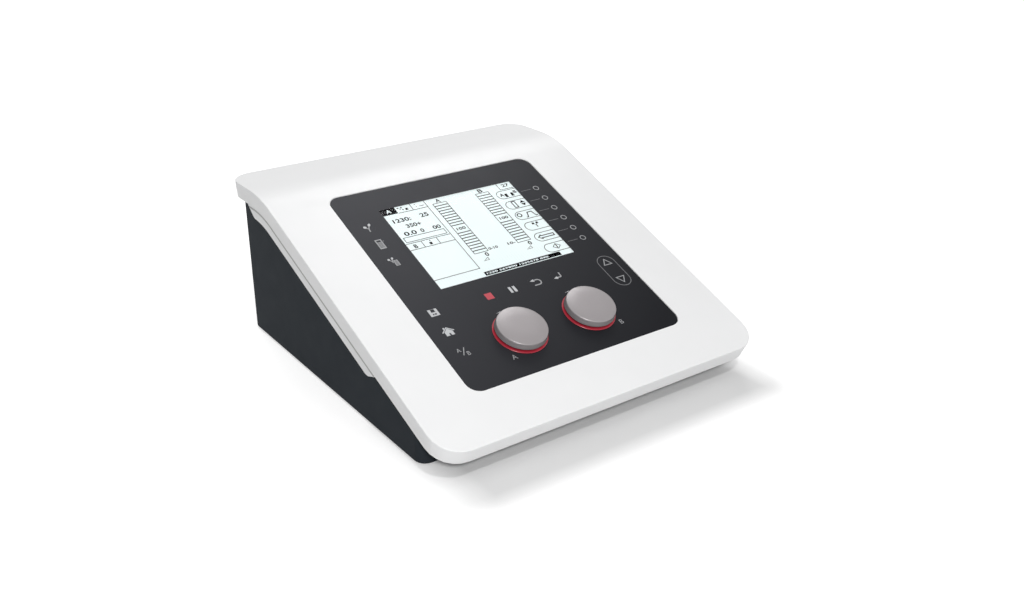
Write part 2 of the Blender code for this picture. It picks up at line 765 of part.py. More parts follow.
def make_display():
    width = DISPLAY_WIDTH - 2 * SEAT_GAP
    height = DISPLAY_HEIGHT - 2 * SEAT_GAP
    pane_edge = rectangle(0, DISPLAY_Y, DISPLAY_WIDTH - 2 * KEY_GAP, DISPLAY_HEIGHT - 2 * KEY_GAP)
    pane = plate("display_window", [pane_edge], PANE_UNDER, PANEL_TOP)
    add_part("display_window", pane, "clear_pane", parent=panel_frame)
    glass = rectangle(0, DISPLAY_Y, width, height)
    body = rectangle(0, DISPLAY_Y, DISPLAY_WIDTH + 2 * MODULE_BORDER, DISPLAY_HEIGHT + 2 * MODULE_BORDER)
    rings = [
        at_height(glass, PANE_UNDER - SEAT_GAP),
        at_height(glass, RECESS_FLOOR),
        at_height(body, RECESS_FLOOR),
        at_height(body, RECESS_FLOOR - MODULE_THICK),
    ]
    add_part("display_module", loft("display_module", rings), "display_face", parent=panel_frame)


def make_keypad_board():
    """Frame-shaped board round the display module, with a switch under every key."""
    frame = 2 * (MODULE_BORDER + KEYPAD_WINDOW_GAP)
    window = rectangle(0, DISPLAY_Y, DISPLAY_WIDTH + frame, DISPLAY_HEIGHT + frame)
    low = KEYPAD_TOP - BOARD_THICK
    mesh = plate("keypad_board", [panel_outline(KEYPAD_INSET), window], low, KEYPAD_TOP)
    board = add_part("keypad_board", mesh, "circuit_board", parent=panel_frame)
    root = KEYPAD_TOP - BOARD_THICK / 2
    size = (SWITCH_SIDE, SWITCH_SIDE, KEYPAD_TOP + SWITCH_BODY - root)
    places = [(x, y) for x, y, _ in key_places().values()]
    bodies = block("switches", [(size, (x, y, root + size[2] / 2)) for x, y in places])
    stem_root = KEYPAD_TOP + SWITCH_BODY / 2
    stem_top = KEYPAD_TOP + SWITCH_HEIGHT
    stems = rods("switch stems", places, SWITCH_STEM_RADIUS, stem_root, stem_top, POST_STEPS)
    join(board, add_cutter("switches", bodies, parent=panel_frame))
    join(board, add_cutter("switch stems", stems, parent=panel_frame))


def make_keys():
    """Flush key faces, each on a stem that ends just over its switch."""
    face_under = -KEY_FACE
    stem_end = KEYPAD_TOP + SWITCH_HEIGHT + KEY_TRAVEL + KEY_STOP_GAP - PANEL_TOP
    meshes = {}
    for radius in (KEY_RADIUS, SOFT_KEY_RADIUS, ARROW_KEY_RADIUS):
        profile = [
            (0, 0),
            (radius, 0),
            (radius, face_under),
            (KEY_STEM_RADIUS, face_under),
            (KEY_STEM_RADIUS, stem_end),
            (0, stem_end),
        ]
        meshes[radius] = profile_mesh(f"key {radius}", profile)
    for name, (x, y, radius) in key_places().items():
        place = (x, y, PANEL_TOP)
        turn(add_part(name, meshes[radius], "charcoal_panel", panel_frame, place), ROUND_STEPS)


def make_knob(ending, place):
    """Flat dial, a little wider at its foot, hollow round a hub that takes the shaft."""
    roof = DIAL_TOP - DIAL_ROOF
    bore = SHAFT_RADIUS + BORE_GAP
    web = DIAL_TOP - 2 * DIAL_ROOF
    profile = [
        (0, DIAL_TOP),
        (DIAL_RADIUS - DIAL_CHAMFER, DIAL_TOP),
        (DIAL_RADIUS, DIAL_TOP - DIAL_CHAMFER),
        (DIAL_FOOT_RADIUS, DIAL_UNDER),
        (DIAL_FOOT_RADIUS - DIAL_SKIRT, DIAL_UNDER),
        (DIAL_FOOT_RADIUS - DIAL_SKIRT, web),
        (DIAL_HUB_RADIUS, web),
        (DIAL_HUB_RADIUS, DIAL_UNDER),
        (bore, DIAL_UNDER),
        (bore, roof),
        (0, roof),
    ]
    mesh = profile_mesh("knob", profile)
    turn(add_part(f"knob_{ending}", mesh, "satin_silver", panel_frame, place), DIAL_STEPS)


def make_knob_ring(ending, place):
    low = PANEL_TOP + SEAT_GAP
    profile = [
        (RING_INNER_RADIUS, RING_TOP),
        (RING_RADIUS, RING_TOP),
        (RING_RADIUS, low),
        (RING_INNER_RADIUS, low),
    ]
    mesh = profile_mesh("knob_ring", profile, closed=True)
    turn(add_part(f"knob_ring_{ending}", mesh, "red_ring", panel_frame, place), DIAL_STEPS)


def make_encoder(ending, place):
    """Encoder body under the panel, its bush through the panel, its nut on top and its shaft."""
    top = PANEL_UNDER - SEAT_GAP
    low = top - ENCODER_HEIGHT
    size = (ENCODER_SIDE, ENCODER_SIDE, ENCODER_HEIGHT)
    body = block("encoder", [(size, (0, 0, (top + low) / 2))])
    encoder = add_part(f"encoder_{ending}", body, "zinc", panel_frame, place)
    bush = rods("encoder bush", [(0, 0)], BUSH_RADIUS, top - ENCODER_HEIGHT / 2, BUSH_TOP)
    join(encoder, add_cutter(f"encoder bush {ending}", bush, panel_frame, place))
    floor = low + ENCODER_FLOOR
    bore = rods("encoder bore", [(0, 0)], SHAFT_RADIUS + BORE_GAP, floor, BUSH_TOP + OVERCUT)
    cut(encoder, add_cutter(f"encoder bore {ending}", bore, panel_frame, place))

    shaft_low = floor + SEAT_GAP
    shaft_top = DIAL_TOP - DIAL_ROOF - SEAT_GAP
    shaft = rods("encoder_shaft", [(0, 0)], SHAFT_RADIUS, shaft_low, shaft_top)
    add_part(f"encoder_shaft_{ending}", shaft, "zinc", panel_frame, place)

    seat = PANEL_TOP + SEAT_GAP
    nut = rods("encoder_nut", [(0, 0)], NUT_RADIUS, seat, NUT_TOP, steps=6)
    nut = add_part(f"encoder_nut_{ending}", nut, "zinc", panel_frame, place)
    thread = rods("nut bore", [(0, 0)], BUSH_RADIUS + BORE_GAP, seat - OVERCUT, NUT_TOP + OVERCUT)
    cut(nut, add_cutter(f"nut bore {ending}", thread, panel_frame, place))


def bevelled(obj, width):
    bevel = obj.modifiers.new("bevel", "BEVEL")
    bevel.width = width
    bevel.segments = 1
    return obj


def make_boards():
    """Control, output and supply boards on the base's posts, with their main components."""
    low = BASE_FLOOR + POST_HEIGHT
    seat = low + BOARD_THICK + SEAT_GAP
    places = board_places()
    for name, (x, y, (width, length)) in places.items():
        mesh = plate(name, [rectangle(x, y, width, length)], low, low + BOARD_THICK)
        add_part(name, mesh, "circuit_board")
    x, y, (width, _) = places["output_board"]
    for ending, side in (("a", -1), ("b", 1)):
        core = block("output_transformer", [(OUTPUT_CORE, (0, 0, OUTPUT_CORE[2] / 2))])
        place = (x + side * width / 4, y, seat)
        bevelled(add_part(f"output_transformer_{ending}", core, "core", location=place), CORE_BEVEL)
    x, y, (width, length) = places["power_supply_board"]
    core = block("supply_transformer", [(SUPPLY_CORE, (0, 0, SUPPLY_CORE[2] / 2))])
    place = (x - width / 5, y + length / 5, seat)
    bevelled(add_part("supply_transformer", core, "core", location=place), CORE_BEVEL)
    add_part("supply_heat_sink", heat_sink(), "zinc", location=(x + width / 4, y, seat))


def heat_sink():
    """Extruded comb: a foot with upright fins."""
    pitch = (SINK_WIDTH - SINK_FIN) / (SINK_FINS - 1)
    outline = [(-SINK_WIDTH / 2, 0), (SINK_WIDTH / 2, 0)]
    for k in reversed(range(SINK_FINS)):
        left = -SINK_WIDTH / 2 + k * pitch
        outline += [(left + SINK_FIN, SINK_HEIGHT), (left, SINK_HEIGHT)]
        if k:
            outline += [(left, SINK_WEB), (left - pitch + SINK_FIN, SINK_WEB)]
    ends = (-SINK_LENGTH / 2, SINK_LENGTH / 2)
    return loft("supply_heat_sink", [[(x, y, z) for x, z in outline] for y in ends])


def inlet_outline(x, width, height, cut_off, clear=0.0):
    """Appliance inlet outline: a rectangle with its two upper corners cut off."""
    right = width / 2 + clear
    top = height / 2 + clear
    return [
        (x - right, -top),
        (x + right, -top),
        (x + right, top - cut_off),
        (x + right - cut_off, top),
        (x - right + cut_off, top),
        (x - right, top - cut_off),
    ]


def pin_places():
    return {
        "inlet_pin_live": (INLET_PLACE - PIN_SPREAD, -PIN_OFFSET),
        "inlet_pin_neutral": (INLET_PLACE + PIN_SPREAD, -PIN_OFFSET),
        "inlet_pin_earth": (INLET_PLACE, PIN_OFFSET),
    }


def switch_size(grow=0.0):
    """Width and height of the rocker's opening, grown on every side."""
    reach = math.hypot(ROCKER_HALF_LENGTH, ROCKER_CREST) + ROCKER_END_GAP
    return 2 * (ROCKER_HALF_WIDTH + SEAT_GAP + grow), 2 * (reach + grow)


def make_rear_panel():
    body_width, body_height = INLET_BODY
    switch_hole = switch_size(SWITCH_WALL + SEAT_GAP)
    outlines = [
        rectangle(0, 0, *REAR_PANEL),
        rectangle(INLET_PLACE, 0, body_width + 2 * SEAT_GAP, body_height + 2 * SEAT_GAP),
        rectangle(SWITCH_PLACE, 0, *switch_hole),
        circle(HEAD_SOCKET_PLACE, 0, HEAD_SOCKET_RADIUS + SEAT_GAP),
    ]
    outlines += [circle(x, 0, SOCKET_RADIUS + SEAT_GAP) for x in SOCKET_PLACES]
    mesh = plate("rear_panel", outlines, -REAR_PANEL_THICK, 0)
    add_part("rear_panel", mesh, "rear_plate", rear_frame)


def make_mains_inlet():
    width, height = INLET_BODY
    body = rectangle(INLET_PLACE, 0, width, height)
    flange = rectangle(INLET_PLACE, 0, width + 2 * INLET_LIP, height + 2 * INLET_LIP)
    face = SEAT_GAP + FLANGE
    rings = [
        at_height(body, INLET_BACK),
        at_height(body, SEAT_GAP),
        at_height(flange, SEAT_GAP),
        at_height(flange, face),
    ]
    inlet = add_part("mains_inlet", loft("mains_inlet", rings), "black_moulding", rear_frame)
    floor = face - INLET_POCKET_DEPTH
    pocket = plate(
        "inlet pocket", [inlet_outline(INLET_PLACE, *INLET_POCKET, INLET_POCKET_CUT)], floor, face + OVERCUT
    )
    cut(inlet, add_cutter("inlet pocket", pocket, rear_frame))
    pin_width, pin_height = PIN_SECTION
    middle = (PIN_TIP + PIN_TAIL) / 2
    slot = (pin_width + 2 * SEAT_GAP, pin_height + 2 * SEAT_GAP, floor - INLET_BACK + 2 * OVERCUT)
    slot_middle = (floor + INLET_BACK) / 2
    slots = block("pin slots", [(slot, (x, y, slot_middle)) for x, y in pin_places().values()])
    cut(inlet, add_cutter("pin slots", slots, rear_frame))
    for name, (x, y) in pin_places().items():
        blade = block("inlet_pin", [((pin_width, pin_height, PIN_TIP - PIN_TAIL), (0, 0, 0))])
        add_part(name, blade, "brass", rear_frame, (x, y, middle))


def make_mains_switch():
    """Switch frame with its pocket, and a rocker that rests tipped to one side of its pivot."""
    face = SEAT_GAP + FLANGE
    body = rectangle(SWITCH_PLACE, 0, *switch_size(SWITCH_WALL))
    flange = rectangle(SWITCH_PLACE, 0, *switch_size(SWITCH_WALL + SWITCH_LIP))
    rings = [
        at_height(body, SWITCH_BACK),
        at_height(body, SEAT_GAP),
        at_height(flange, SEAT_GAP),
        at_height(flange, face),
    ]
    frame = add_part("switch_frame", loft("switch_frame", rings), "black_moulding", rear_frame)
    hub_width, hub_depth = ROCKER_HUB
    floor = ROCKER_PIVOT - math.hypot(hub_width, hub_depth) - SEAT_GAP
    pocket = plate("rocker pocket", [rectangle(SWITCH_PLACE, 0, *switch_size())], floor, face + OVERCUT)
    cut(frame, add_cutter("rocker pocket", pocket, rear_frame))
    outline = [
        (-ROCKER_HALF_LENGTH, ROCKER_CREST),
        (-ROCKER_HALF_LENGTH, ROCKER_SIDE),
        (-hub_width, hub_depth),
        (hub_width, hub_depth),
        (ROCKER_HALF_LENGTH, ROCKER_SIDE),
        (ROCKER_HALF_LENGTH, ROCKER_CREST),
        (0, ROCKER_DIP),
    ]
    sides = (-ROCKER_HALF_WIDTH, ROCKER_HALF_WIDTH)
    rocker = loft("switch_rocker", [[(x, y, z) for y, z in outline] for x in sides])
    place = (SWITCH_PLACE, 0, ROCKER_PIVOT)
    add_part("switch_rocker", rocker, "black_moulding", rear_frame, place, (ROCKER_TILT, 0, 0))


def make_socket(name, x, radius, bore, depth):
    """Round applicator socket: a flanged cup."""
    face = SEAT_GAP + FLANGE
    floor = face - depth
    profile = [
        (0, floor),
        (bore, floor),
        (bore, face),
        (radius + SOCKET_LIP, face),
        (radius + SOCKET_LIP, SEAT_GAP),
        (radius, SEAT_GAP),
        (radius, floor - SOCKET_FLOOR),
        (0, floor - SOCKET_FLOOR),
    ]
    socket = add_part(name, profile_mesh(name, profile), "black_moulding", rear_frame, (x, 0, 0))
    turn(socket, ROUND_STEPS)


def add_frame(name, location, rotation):
    """Empty that carries the pieces of one face."""
    empty = bpy.data.objects.new(name, None)
    parts.objects.link(empty)
    empty.location = location
    empty.rotation_euler = rotation
    return empty


clear_scene()
parts = new_collection("therapy_console")
cutters = new_collection("cutters")
panel_frame = add_frame("panel_frame", on_cover(0, FRONT_BORDER + PANEL_LENGTH / 2, 0), (SLOPE, 0, 0))
rear_frame = add_frame(
    "rear_frame", (0, REAR_PANEL_Y, FOOT_STAND + REAR_PANEL_RISE), (math.pi / 2, 0, math.pi)
)
make_top_cover()
make_base_housing()
make_feet()
make_cover_screws()
make_control_panel()
make_display()
make_keypad_board()
make_keys()
for dial, (dial_x, dial_y) in dial_places().items():
    make_knob(dial, (dial_x, dial_y, 0))
    make_knob_ring(dial, (dial_x, dial_y, 0))
    make_encoder(dial, (dial_x, dial_y, 0))
make_boards()
make_rear_panel()
make_mains_inlet()
make_mains_switch()
for socket_ending, socket_x in zip("ab", SOCKET_PLACES):
    make_socket(f"socket_{socket_ending}", socket_x, SOCKET_RADIUS, SOCKET_BORE, SOCKET_DEPTH)
make_socket("head_socket", HEAD_SOCKET_PLACE, HEAD_SOCKET_RADIUS, HEAD_SOCKET_BORE, HEAD_SOCKET_DEPTH)
bpy.context.view_layer.update()
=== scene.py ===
"""Finished look of the desk-top therapy console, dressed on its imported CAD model.

Sizes are in metres. What lies on the control panel is drawn flat, with x across the panel, y up its slope
and z out of its face, and is then laid onto it.
"""

import json
import math

import bmesh
import bpy
from mathutils import Matrix, Vector
from mathutils.bvhtree import BVHTree


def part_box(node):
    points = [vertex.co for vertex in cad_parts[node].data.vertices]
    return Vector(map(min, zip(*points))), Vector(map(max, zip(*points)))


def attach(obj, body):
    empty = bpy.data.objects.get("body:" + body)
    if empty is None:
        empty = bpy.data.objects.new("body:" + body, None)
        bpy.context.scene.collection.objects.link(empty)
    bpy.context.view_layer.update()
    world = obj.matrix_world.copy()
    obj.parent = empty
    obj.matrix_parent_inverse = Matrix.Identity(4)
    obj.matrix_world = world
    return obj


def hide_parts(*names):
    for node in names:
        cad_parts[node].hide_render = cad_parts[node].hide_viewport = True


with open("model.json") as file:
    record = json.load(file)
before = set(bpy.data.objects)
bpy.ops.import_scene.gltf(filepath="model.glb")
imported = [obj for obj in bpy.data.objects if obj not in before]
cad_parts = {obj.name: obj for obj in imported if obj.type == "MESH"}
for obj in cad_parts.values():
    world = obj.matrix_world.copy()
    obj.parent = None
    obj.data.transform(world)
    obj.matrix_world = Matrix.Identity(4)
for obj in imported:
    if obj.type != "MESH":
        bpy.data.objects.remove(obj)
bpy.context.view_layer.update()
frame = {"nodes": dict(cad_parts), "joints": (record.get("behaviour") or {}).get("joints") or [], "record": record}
nodes = frame["nodes"]
joints = {joint["name"]: joint for joint in frame["joints"]}
slots = {part["node"]: part["material_slot"] for part in frame["record"]["subparts"]}

# Camera of the photograph, set from the middle of the panel
CAMERA_FROM_PANEL = Vector((-0.40671, -0.55958, 0.28498))
CAMERA_TURN = (65.461, 0.473, -34.341)
CAMERA_LENS = 37.306
CAMERA_SHIFT = (0.0410, -0.0068)
SENSOR_WIDTH = 36.0
CAMERA_NEAR = 0.01

# Lamps: place, size and power
LAMPS = {
    "front_high": ((-0.3, -0.9, 1.4), 0.14, 5.9),
    "front_left": ((-0.67, -1.13, 0.85), 0.16, 11.1),
    "front_right": ((0.9, -1.0, 0.5), 0.8, 1.2),
    "rear_high": ((0.0, 1.1, 1.2), 0.35, 3.6),
    "rear_right": ((0.7, 0.8, 1.2), 0.7, 5.8),
}
LAMP_AIM = Vector((0, 0, 0.05))
SKY = 0.18

# Floor, and its glow by the distance from a painted shadow patch under the front, up to a metre; low glow in the
# patch paints the shadow's outline
FLOOR_SHADE = 0.8
FLOOR_ROUGHNESS = 0.9
FLOOR_REACH = 6.0
FLOOR_GLOW = ((0.0, 0.055), (0.012, 0.21), (0.028, 0.46), (0.25, 0.55), (1.0, 0.95))
PAINTED_SHADOW_MIDDLE = (0.006, -0.11, 0)
PAINTED_SHADOW_HALF = (0.112, 0.05, 0)

# Finishes: the range that a noise mostly fills, a wave's radians per metre at scale 1, patches and colours
NOISE_LOW = 0.3
NOISE_HIGH = 0.7
WAVE_RADIANS = 20
MOTTLE_SIZE = 0.03
SHEEN_SIZE = 0.012
SHEEN_SPREAD = 0.03
# Painted shade on the foil: its colour runs from the lit upper left to the shaded lower right over a span
FOIL_PAINTED_LIGHT = (0.058, 0.059, 0.066)
FOIL_PAINTED_SHADE = (0.0095, 0.010, 0.0125)
FOIL_PAINTED_SHADE_SPAN = 0.26
FOIL_SHEEN = (0.38, 0.44)
FOIL_SHEEN_SIZE = 0.02
FOIL_GLOSS = 0.05
FOIL_GRAIN = 0.0005
FOIL_GRAIN_DEPTH = 0.000006
DIAL_COLOUR = (0.300, 0.279, 0.285)
DIAL_METALLIC = 0.3
DIAL_SHEEN = (0.35, 0.43)
DIAL_SHEEN_SIZE = 0.004
DIAL_MARKS = 900
DIAL_MARK_WAVER = 1.5
DIAL_MARK_TINT = 0.04
DIAL_MARK_DEPTH = 0.000001
SCREEN_LIT = (0.93, 1.0, 1.0)
SCREEN_LINE = (0.89, 0.96, 0.97)
SCREEN_UNLIT = (0.24, 0.27, 0.27)
SCREEN_LINE_SHARE = 0.4
SCREEN_GLOW = 0.69
SCREEN_GLOSS = 0.1
SCREEN_ROUGHNESS = 0.4
PANE_IOR = 1.08
PANE_SHEEN = (0.12, 0.16)
PANE_SHEEN_SIZE = 0.02
PANE_TINT = (0.97, 0.99, 0.99)
PANE_CLEAR = (0.99, 1.0, 1.0)
PANE_TINT_SIZE = 0.05

# Facets and seams
MERGE = 1e-6
SMOOTH_ANGLE = math.radians(35)
FLAT_ANGLE = math.radians(0.3)
ROUND_STEPS = 64
DIAL_STEPS = 160
CORNER_STEPS = 16
EDGE_STEPS = 5
SEAM = 0.00003
MITRE_LIMIT = 0.35

# Panel foil and its keys
FOIL_EDGE = 0.00025
FOIL_THICK = 0.0016
WINDOW_LIP = 0.0003
WINDOW_SEAT = 0.003
PANEL_CORNER = 0.009
KEY_GAP = 0.0002
KEY_CAP = 0.0009
NUT_HOLE = 2 / 3
SOFT_KEYS = 6

# Printing
PRINT = 0.00003
PRINT_ROOT = 0.00001
LETTER_STEPS = 3
SCREEN_WEIGHT = 0.025

# Marks on the panel and at the rear, in millimetres
MILLIMETRE = 0.001
SOFT_LINE = (9.2, 0.32)
SOFT_LINE_BACK = 9.6
ARROW_FIELD = 7.2
ARROW_FIELD_LINE = 0.5
DIAL_LETTER = 3.9
DIAL_LETTER_ASIDE = 16.2
DIAL_LETTER_DROP = 17.0
DIAL_WEDGE = ((-5.6, 20.9), (-1.4, 21.3), (-1.4, 21.9))
REAR_LETTER = 4.2

# Dials and the rings under them
DIAL_RISE = 0.0020
DIAL_TAPER = 0.0005
DIAL_EDGE = 0.0009
DIAL_CROWN = 0.0012
CROWN_POWER = 4
CROWN_STEPS = 8
DIAL_WALL = 0.0022
DIAL_FLOOR = 0.0018
DIAL_FOOT = 0.0003
RING_WIDTH = 0.0055
RING_EDGE = 0.0002

# Skirts and the painted shadow line on them under the rim, places of the rear marks, and contact pins
NEAR = 0.0001
SKIRT_INSET = 0.0018
# Painted shadow line: how far below the rim's edge it starts, and how wide it is
SKIRT_SHADOW_DROP = 0.0021
SKIRT_SHADOW_WIDTH = 0.0014
SKIRT_END = 0.0032
REAR_LETTER_RISE = 0.006
ROCKER_MARK_RISE = 0.0042
PIN_RADIUS = 0.0006
PIN_LENGTH = 0.007
SOCKET_PINS = {"socket_a": (4, 0.0028), "socket_b": (4, 0.0028), "head_socket": (6, 0.0046)}

# Screen, drawn on a grid of dots counted from its upper left corner
DOTS_ACROSS = 320
OVERRUN = 5
RIGHT_END = DOTS_ACROSS + OVERRUN
SCREEN_SHEET = 0.0001
SCREEN_LAP = 0.002
THIN = 1.4
RUNG = 2.3
DIVIDER = 105.6
TAB_WIDTH = 36
TAB_LINE = 17.4
CELL_TOP = 106.5
CELL_BOTTOM = 125.4
FIELD_BOTTOM = 215.4
PILL_FIRST = 34.5
PILL_PITCH = 35.7
PILL_HALF = 12.4
PILL_LEFT = 268.2
LADDER_TOP = 14.2
LADDER_CELL = 8.1
LADDER_CELLS = 20
LADDER_WIDTH = 32
LADDER_LABEL = (10, 11)

# The panel's own axes, from the axis that its dials turn on
NORMAL = Vector(joints["dial_a_turn"]["axis"]).normalized()
ACROSS = Vector((1, 0, 0))
UPWARD = NORMAL.cross(ACROSS)


def slope_box(node):
    """Lowest and highest corner of a CAD node along the panel's own axes."""
    axes = Matrix((ACROSS, UPWARD, NORMAL))
    points = [axes @ vert.co for vert in nodes[node].data.vertices]
    low = Vector(min(point[k] for point in points) for k in range(3))
    high = Vector(max(point[k] for point in points) for k in range(3))
    return low, high


panel_low, panel_high = slope_box("control_panel")
panel_middle = Vector(((panel_low.x + panel_high.x) / 2, (panel_low.y + panel_high.y) / 2, panel_high.z))
panel_half = Vector((panel_high.x - panel_low.x, panel_high.y - panel_low.y)) / 2
PANEL = Matrix((ACROSS, UPWARD, NORMAL)).transposed().to_4x4()
PANEL.translation = ACROSS * panel_middle.x + UPWARD * panel_middle.y + NORMAL * panel_middle.z


def on_panel(node):
    """Lowest and highest corner of a CAD node in the panel's drawing."""
    low, high = slope_box(node)
    return low - panel_middle, high - panel_middle


def round_place(node):
    """Middle of a round CAD node on the panel, and its radius."""
    low, high = on_panel(node)
    return (low + high) / 2, (high.x - low.x) / 2


key_places = {name: round_place(name) for name in nodes if name.startswith("key_")}
dial_places = {ending: round_place(f"knob_{ending}") for ending in "ab"}
screen_low, screen_high = on_panel("display_window")
screen_low -= Vector((KEY_GAP, KEY_GAP, 0))
screen_high += Vector((KEY_GAP, KEY_GAP, 0))
screen_level = on_panel("display_module")[1].z + SCREEN_SHEET
screen_dot = (screen_high.x - screen_low.x) / DOTS_ACROSS


# Finishes

def shader_of(name):
    """A new material with its node tree and shader."""
    material = bpy.data.materials.new(name)
    material.use_nodes = True
    tree = material.node_tree
    return material, tree, tree.nodes["Principled BSDF"]


def object_place(tree):
    return tree.nodes.new("ShaderNodeTexCoord").outputs["Object"]


def noise(tree, size, detail=2.0):
    """Noise whose patches are about that size."""
    texture = tree.nodes.new("ShaderNodeTexNoise")
    texture.inputs["Scale"].default_value = 1 / size
    texture.inputs["Detail"].default_value = detail
    tree.links.new(object_place(tree), texture.inputs["Vector"])
    return texture.outputs["Fac"]


def spread(tree, factor, low, high):
    """Stretches the middle of a noise over a range."""
    stretch = tree.nodes.new("ShaderNodeMapRange")
    stretch.inputs["From Min"].default_value = NOISE_LOW
    stretch.inputs["From Max"].default_value = NOISE_HIGH
    stretch.inputs["To Min"].default_value = low
    stretch.inputs["To Max"].default_value = high
    tree.links.new(factor, stretch.inputs["Value"])
    return stretch.outputs["Result"]


def ramp(tree, factor, *stops):
    """Colours along a factor, each with its place from 0 to 1."""
    node = tree.nodes.new("ShaderNodeValToRGB")
    elements = node.color_ramp.elements
    while len(elements) < len(stops):
        elements.new(0.5)
    for element, (place, colour) in zip(elements, stops):
        element.position = place
        element.color = (*colour, 1)
    tree.links.new(factor, node.inputs["Fac"])
    return node.outputs["Color"]


def shade(colour, share):
    return tuple(share * channel for channel in colour)


def bumps(tree, shader, height, depth):
    bump = tree.nodes.new("ShaderNodeBump")
    bump.inputs["Distance"].default_value = depth
    tree.links.new(height, bump.inputs["Height"])
    tree.links.new(bump.outputs["Normal"], shader.inputs["Normal"])


def finish(name, colour, roughness, grain, depth, mottle=0.03, metallic=0.0, gloss=0.5):
    """Surface with a fine grain, and with colour and sheen that vary a little over it."""
    material, tree, shader = shader_of(name)
    low, high = shade(colour, 1 - mottle), shade(colour, 1 + mottle)
    tint = ramp(tree, noise(tree, MOTTLE_SIZE), (NOISE_LOW, low), (NOISE_HIGH, high))
    tree.links.new(tint, shader.inputs["Base Color"])
    sheen = spread(tree, noise(tree, SHEEN_SIZE, 4), roughness - SHEEN_SPREAD, roughness + SHEEN_SPREAD)
    tree.links.new(sheen, shader.inputs["Roughness"])
    shader.inputs["Metallic"].default_value = metallic
    shader.inputs["Specular IOR Level"].default_value = gloss
    bumps(tree, shader, noise(tree, grain, 3), depth)
    return material


def panel_foil():
    """Foil with painted shade: lighter at its upper left and darker towards its lower right, where less light
    falls.
    """
    material, tree, shader = shader_of("panel_foil")
    turn = tree.nodes.new("ShaderNodeMapping")
    turn.inputs["Rotation"].default_value = (0, 0, math.radians(45))
    turn.inputs["Scale"].default_value = (1 / FOIL_PAINTED_SHADE_SPAN, 1 / FOIL_PAINTED_SHADE_SPAN, 1)
    turn.inputs["Location"].default_value = (0.5, 0, 0)
    tree.links.new(object_place(tree), turn.inputs["Vector"])
    # Painted shade: a gradient that darkens the foil towards its lower right
    painted_fade = tree.nodes.new("ShaderNodeTexGradient")
    tree.links.new(turn.outputs["Vector"], painted_fade.inputs["Vector"])
    tint = ramp(tree, painted_fade.outputs["Fac"], (0.0, FOIL_PAINTED_LIGHT), (1.0, FOIL_PAINTED_SHADE))
    tree.links.new(tint, shader.inputs["Base Color"])
    sheen = spread(tree, noise(tree, FOIL_SHEEN_SIZE, 4), *FOIL_SHEEN)
    tree.links.new(sheen, shader.inputs["Roughness"])
    shader.inputs["Specular IOR Level"].default_value = FOIL_GLOSS
    bumps(tree, shader, noise(tree, FOIL_GRAIN, 2), FOIL_GRAIN_DEPTH)
    return material


def dial_metal(ending):
    """Satin metal with fine turning marks round the dial's own axis."""
    material, tree, shader = shader_of(f"dial_metal_{ending}")
    level = tree.nodes.new("ShaderNodeMapping")
    level.vector_type = "TEXTURE"
    level.inputs["Location"].default_value = joints[f"dial_{ending}_turn"]["pos_m"]
    level.inputs["Rotation"].default_value = PANEL.to_euler()
    tree.links.new(object_place(tree), level.inputs["Vector"])
    marks = tree.nodes.new("ShaderNodeTexWave")
    marks.wave_type = "RINGS"
    marks.rings_direction = "Z"
    marks.inputs["Scale"].default_value = DIAL_MARKS
    marks.inputs["Distortion"].default_value = DIAL_MARK_WAVER
    tree.links.new(level.outputs["Vector"], marks.inputs["Vector"])
    low, high = shade(DIAL_COLOUR, 1 - DIAL_MARK_TINT), shade(DIAL_COLOUR, 1 + DIAL_MARK_TINT)
    tint = ramp(tree, marks.outputs["Fac"], (0.0, low), (1.0, high))
    tree.links.new(tint, shader.inputs["Base Color"])
    sheen = spread(tree, noise(tree, DIAL_SHEEN_SIZE, 4), *DIAL_SHEEN)
    tree.links.new(sheen, shader.inputs["Roughness"])
    shader.inputs["Metallic"].default_value = DIAL_METALLIC
    bumps(tree, shader, marks.outputs["Fac"], DIAL_MARK_DEPTH)
    return material


def screen_light():
    """Lit screen with faint bands a few dots wide."""
    material, tree, shader = shader_of("screen_light")
    bands = tree.nodes.new("ShaderNodeTexWave")
    bands.inputs["Scale"].default_value = 1 / screen_dot / WAVE_RADIANS
    tree.links.new(object_place(tree), bands.inputs["Vector"])
    glow = ramp(tree, bands.outputs["Fac"], (0.0, SCREEN_LINE), (SCREEN_LINE_SHARE, SCREEN_LIT))
    tree.links.new(glow, shader.inputs["Emission Color"])
    shader.inputs["Base Color"].default_value = (*SCREEN_UNLIT, 1)
    shader.inputs["Emission Strength"].default_value = SCREEN_GLOW
    shader.inputs["Specular IOR Level"].default_value = SCREEN_GLOSS
    shader.inputs["Roughness"].default_value = SCREEN_ROUGHNESS
    return material


def clear_pane():
    """Clear window with a coat that cuts reflections."""
    material, tree, shader = shader_of("clear_pane")
    shader.inputs["Transmission Weight"].default_value = 1.0
    shader.inputs["IOR"].default_value = PANE_IOR
    sheen = spread(tree, noise(tree, PANE_SHEEN_SIZE, 3), *PANE_SHEEN)
    tree.links.new(sheen, shader.inputs["Roughness"])
    tint = ramp(tree, noise(tree, PANE_TINT_SIZE), (NOISE_LOW, PANE_TINT), (NOISE_HIGH, PANE_CLEAR))
    tree.links.new(tint, shader.inputs["Base Color"])
    return material


def seen_rays(tree):
    """1 for what the camera sees, straight or by way of metal or glass."""
    rays = tree.nodes.new("ShaderNodeLightPath").outputs
    seen = rays["Is Camera Ray"]
    for kind in ("Is Glossy Ray", "Is Transmission Ray"):
        either = tree.nodes.new("ShaderNodeMath")
        either.operation = "MAXIMUM"
        tree.links.new(seen, either.inputs[0])
        tree.links.new(rays[kind], either.inputs[1])
        seen = either.outputs["Value"]
    return seen


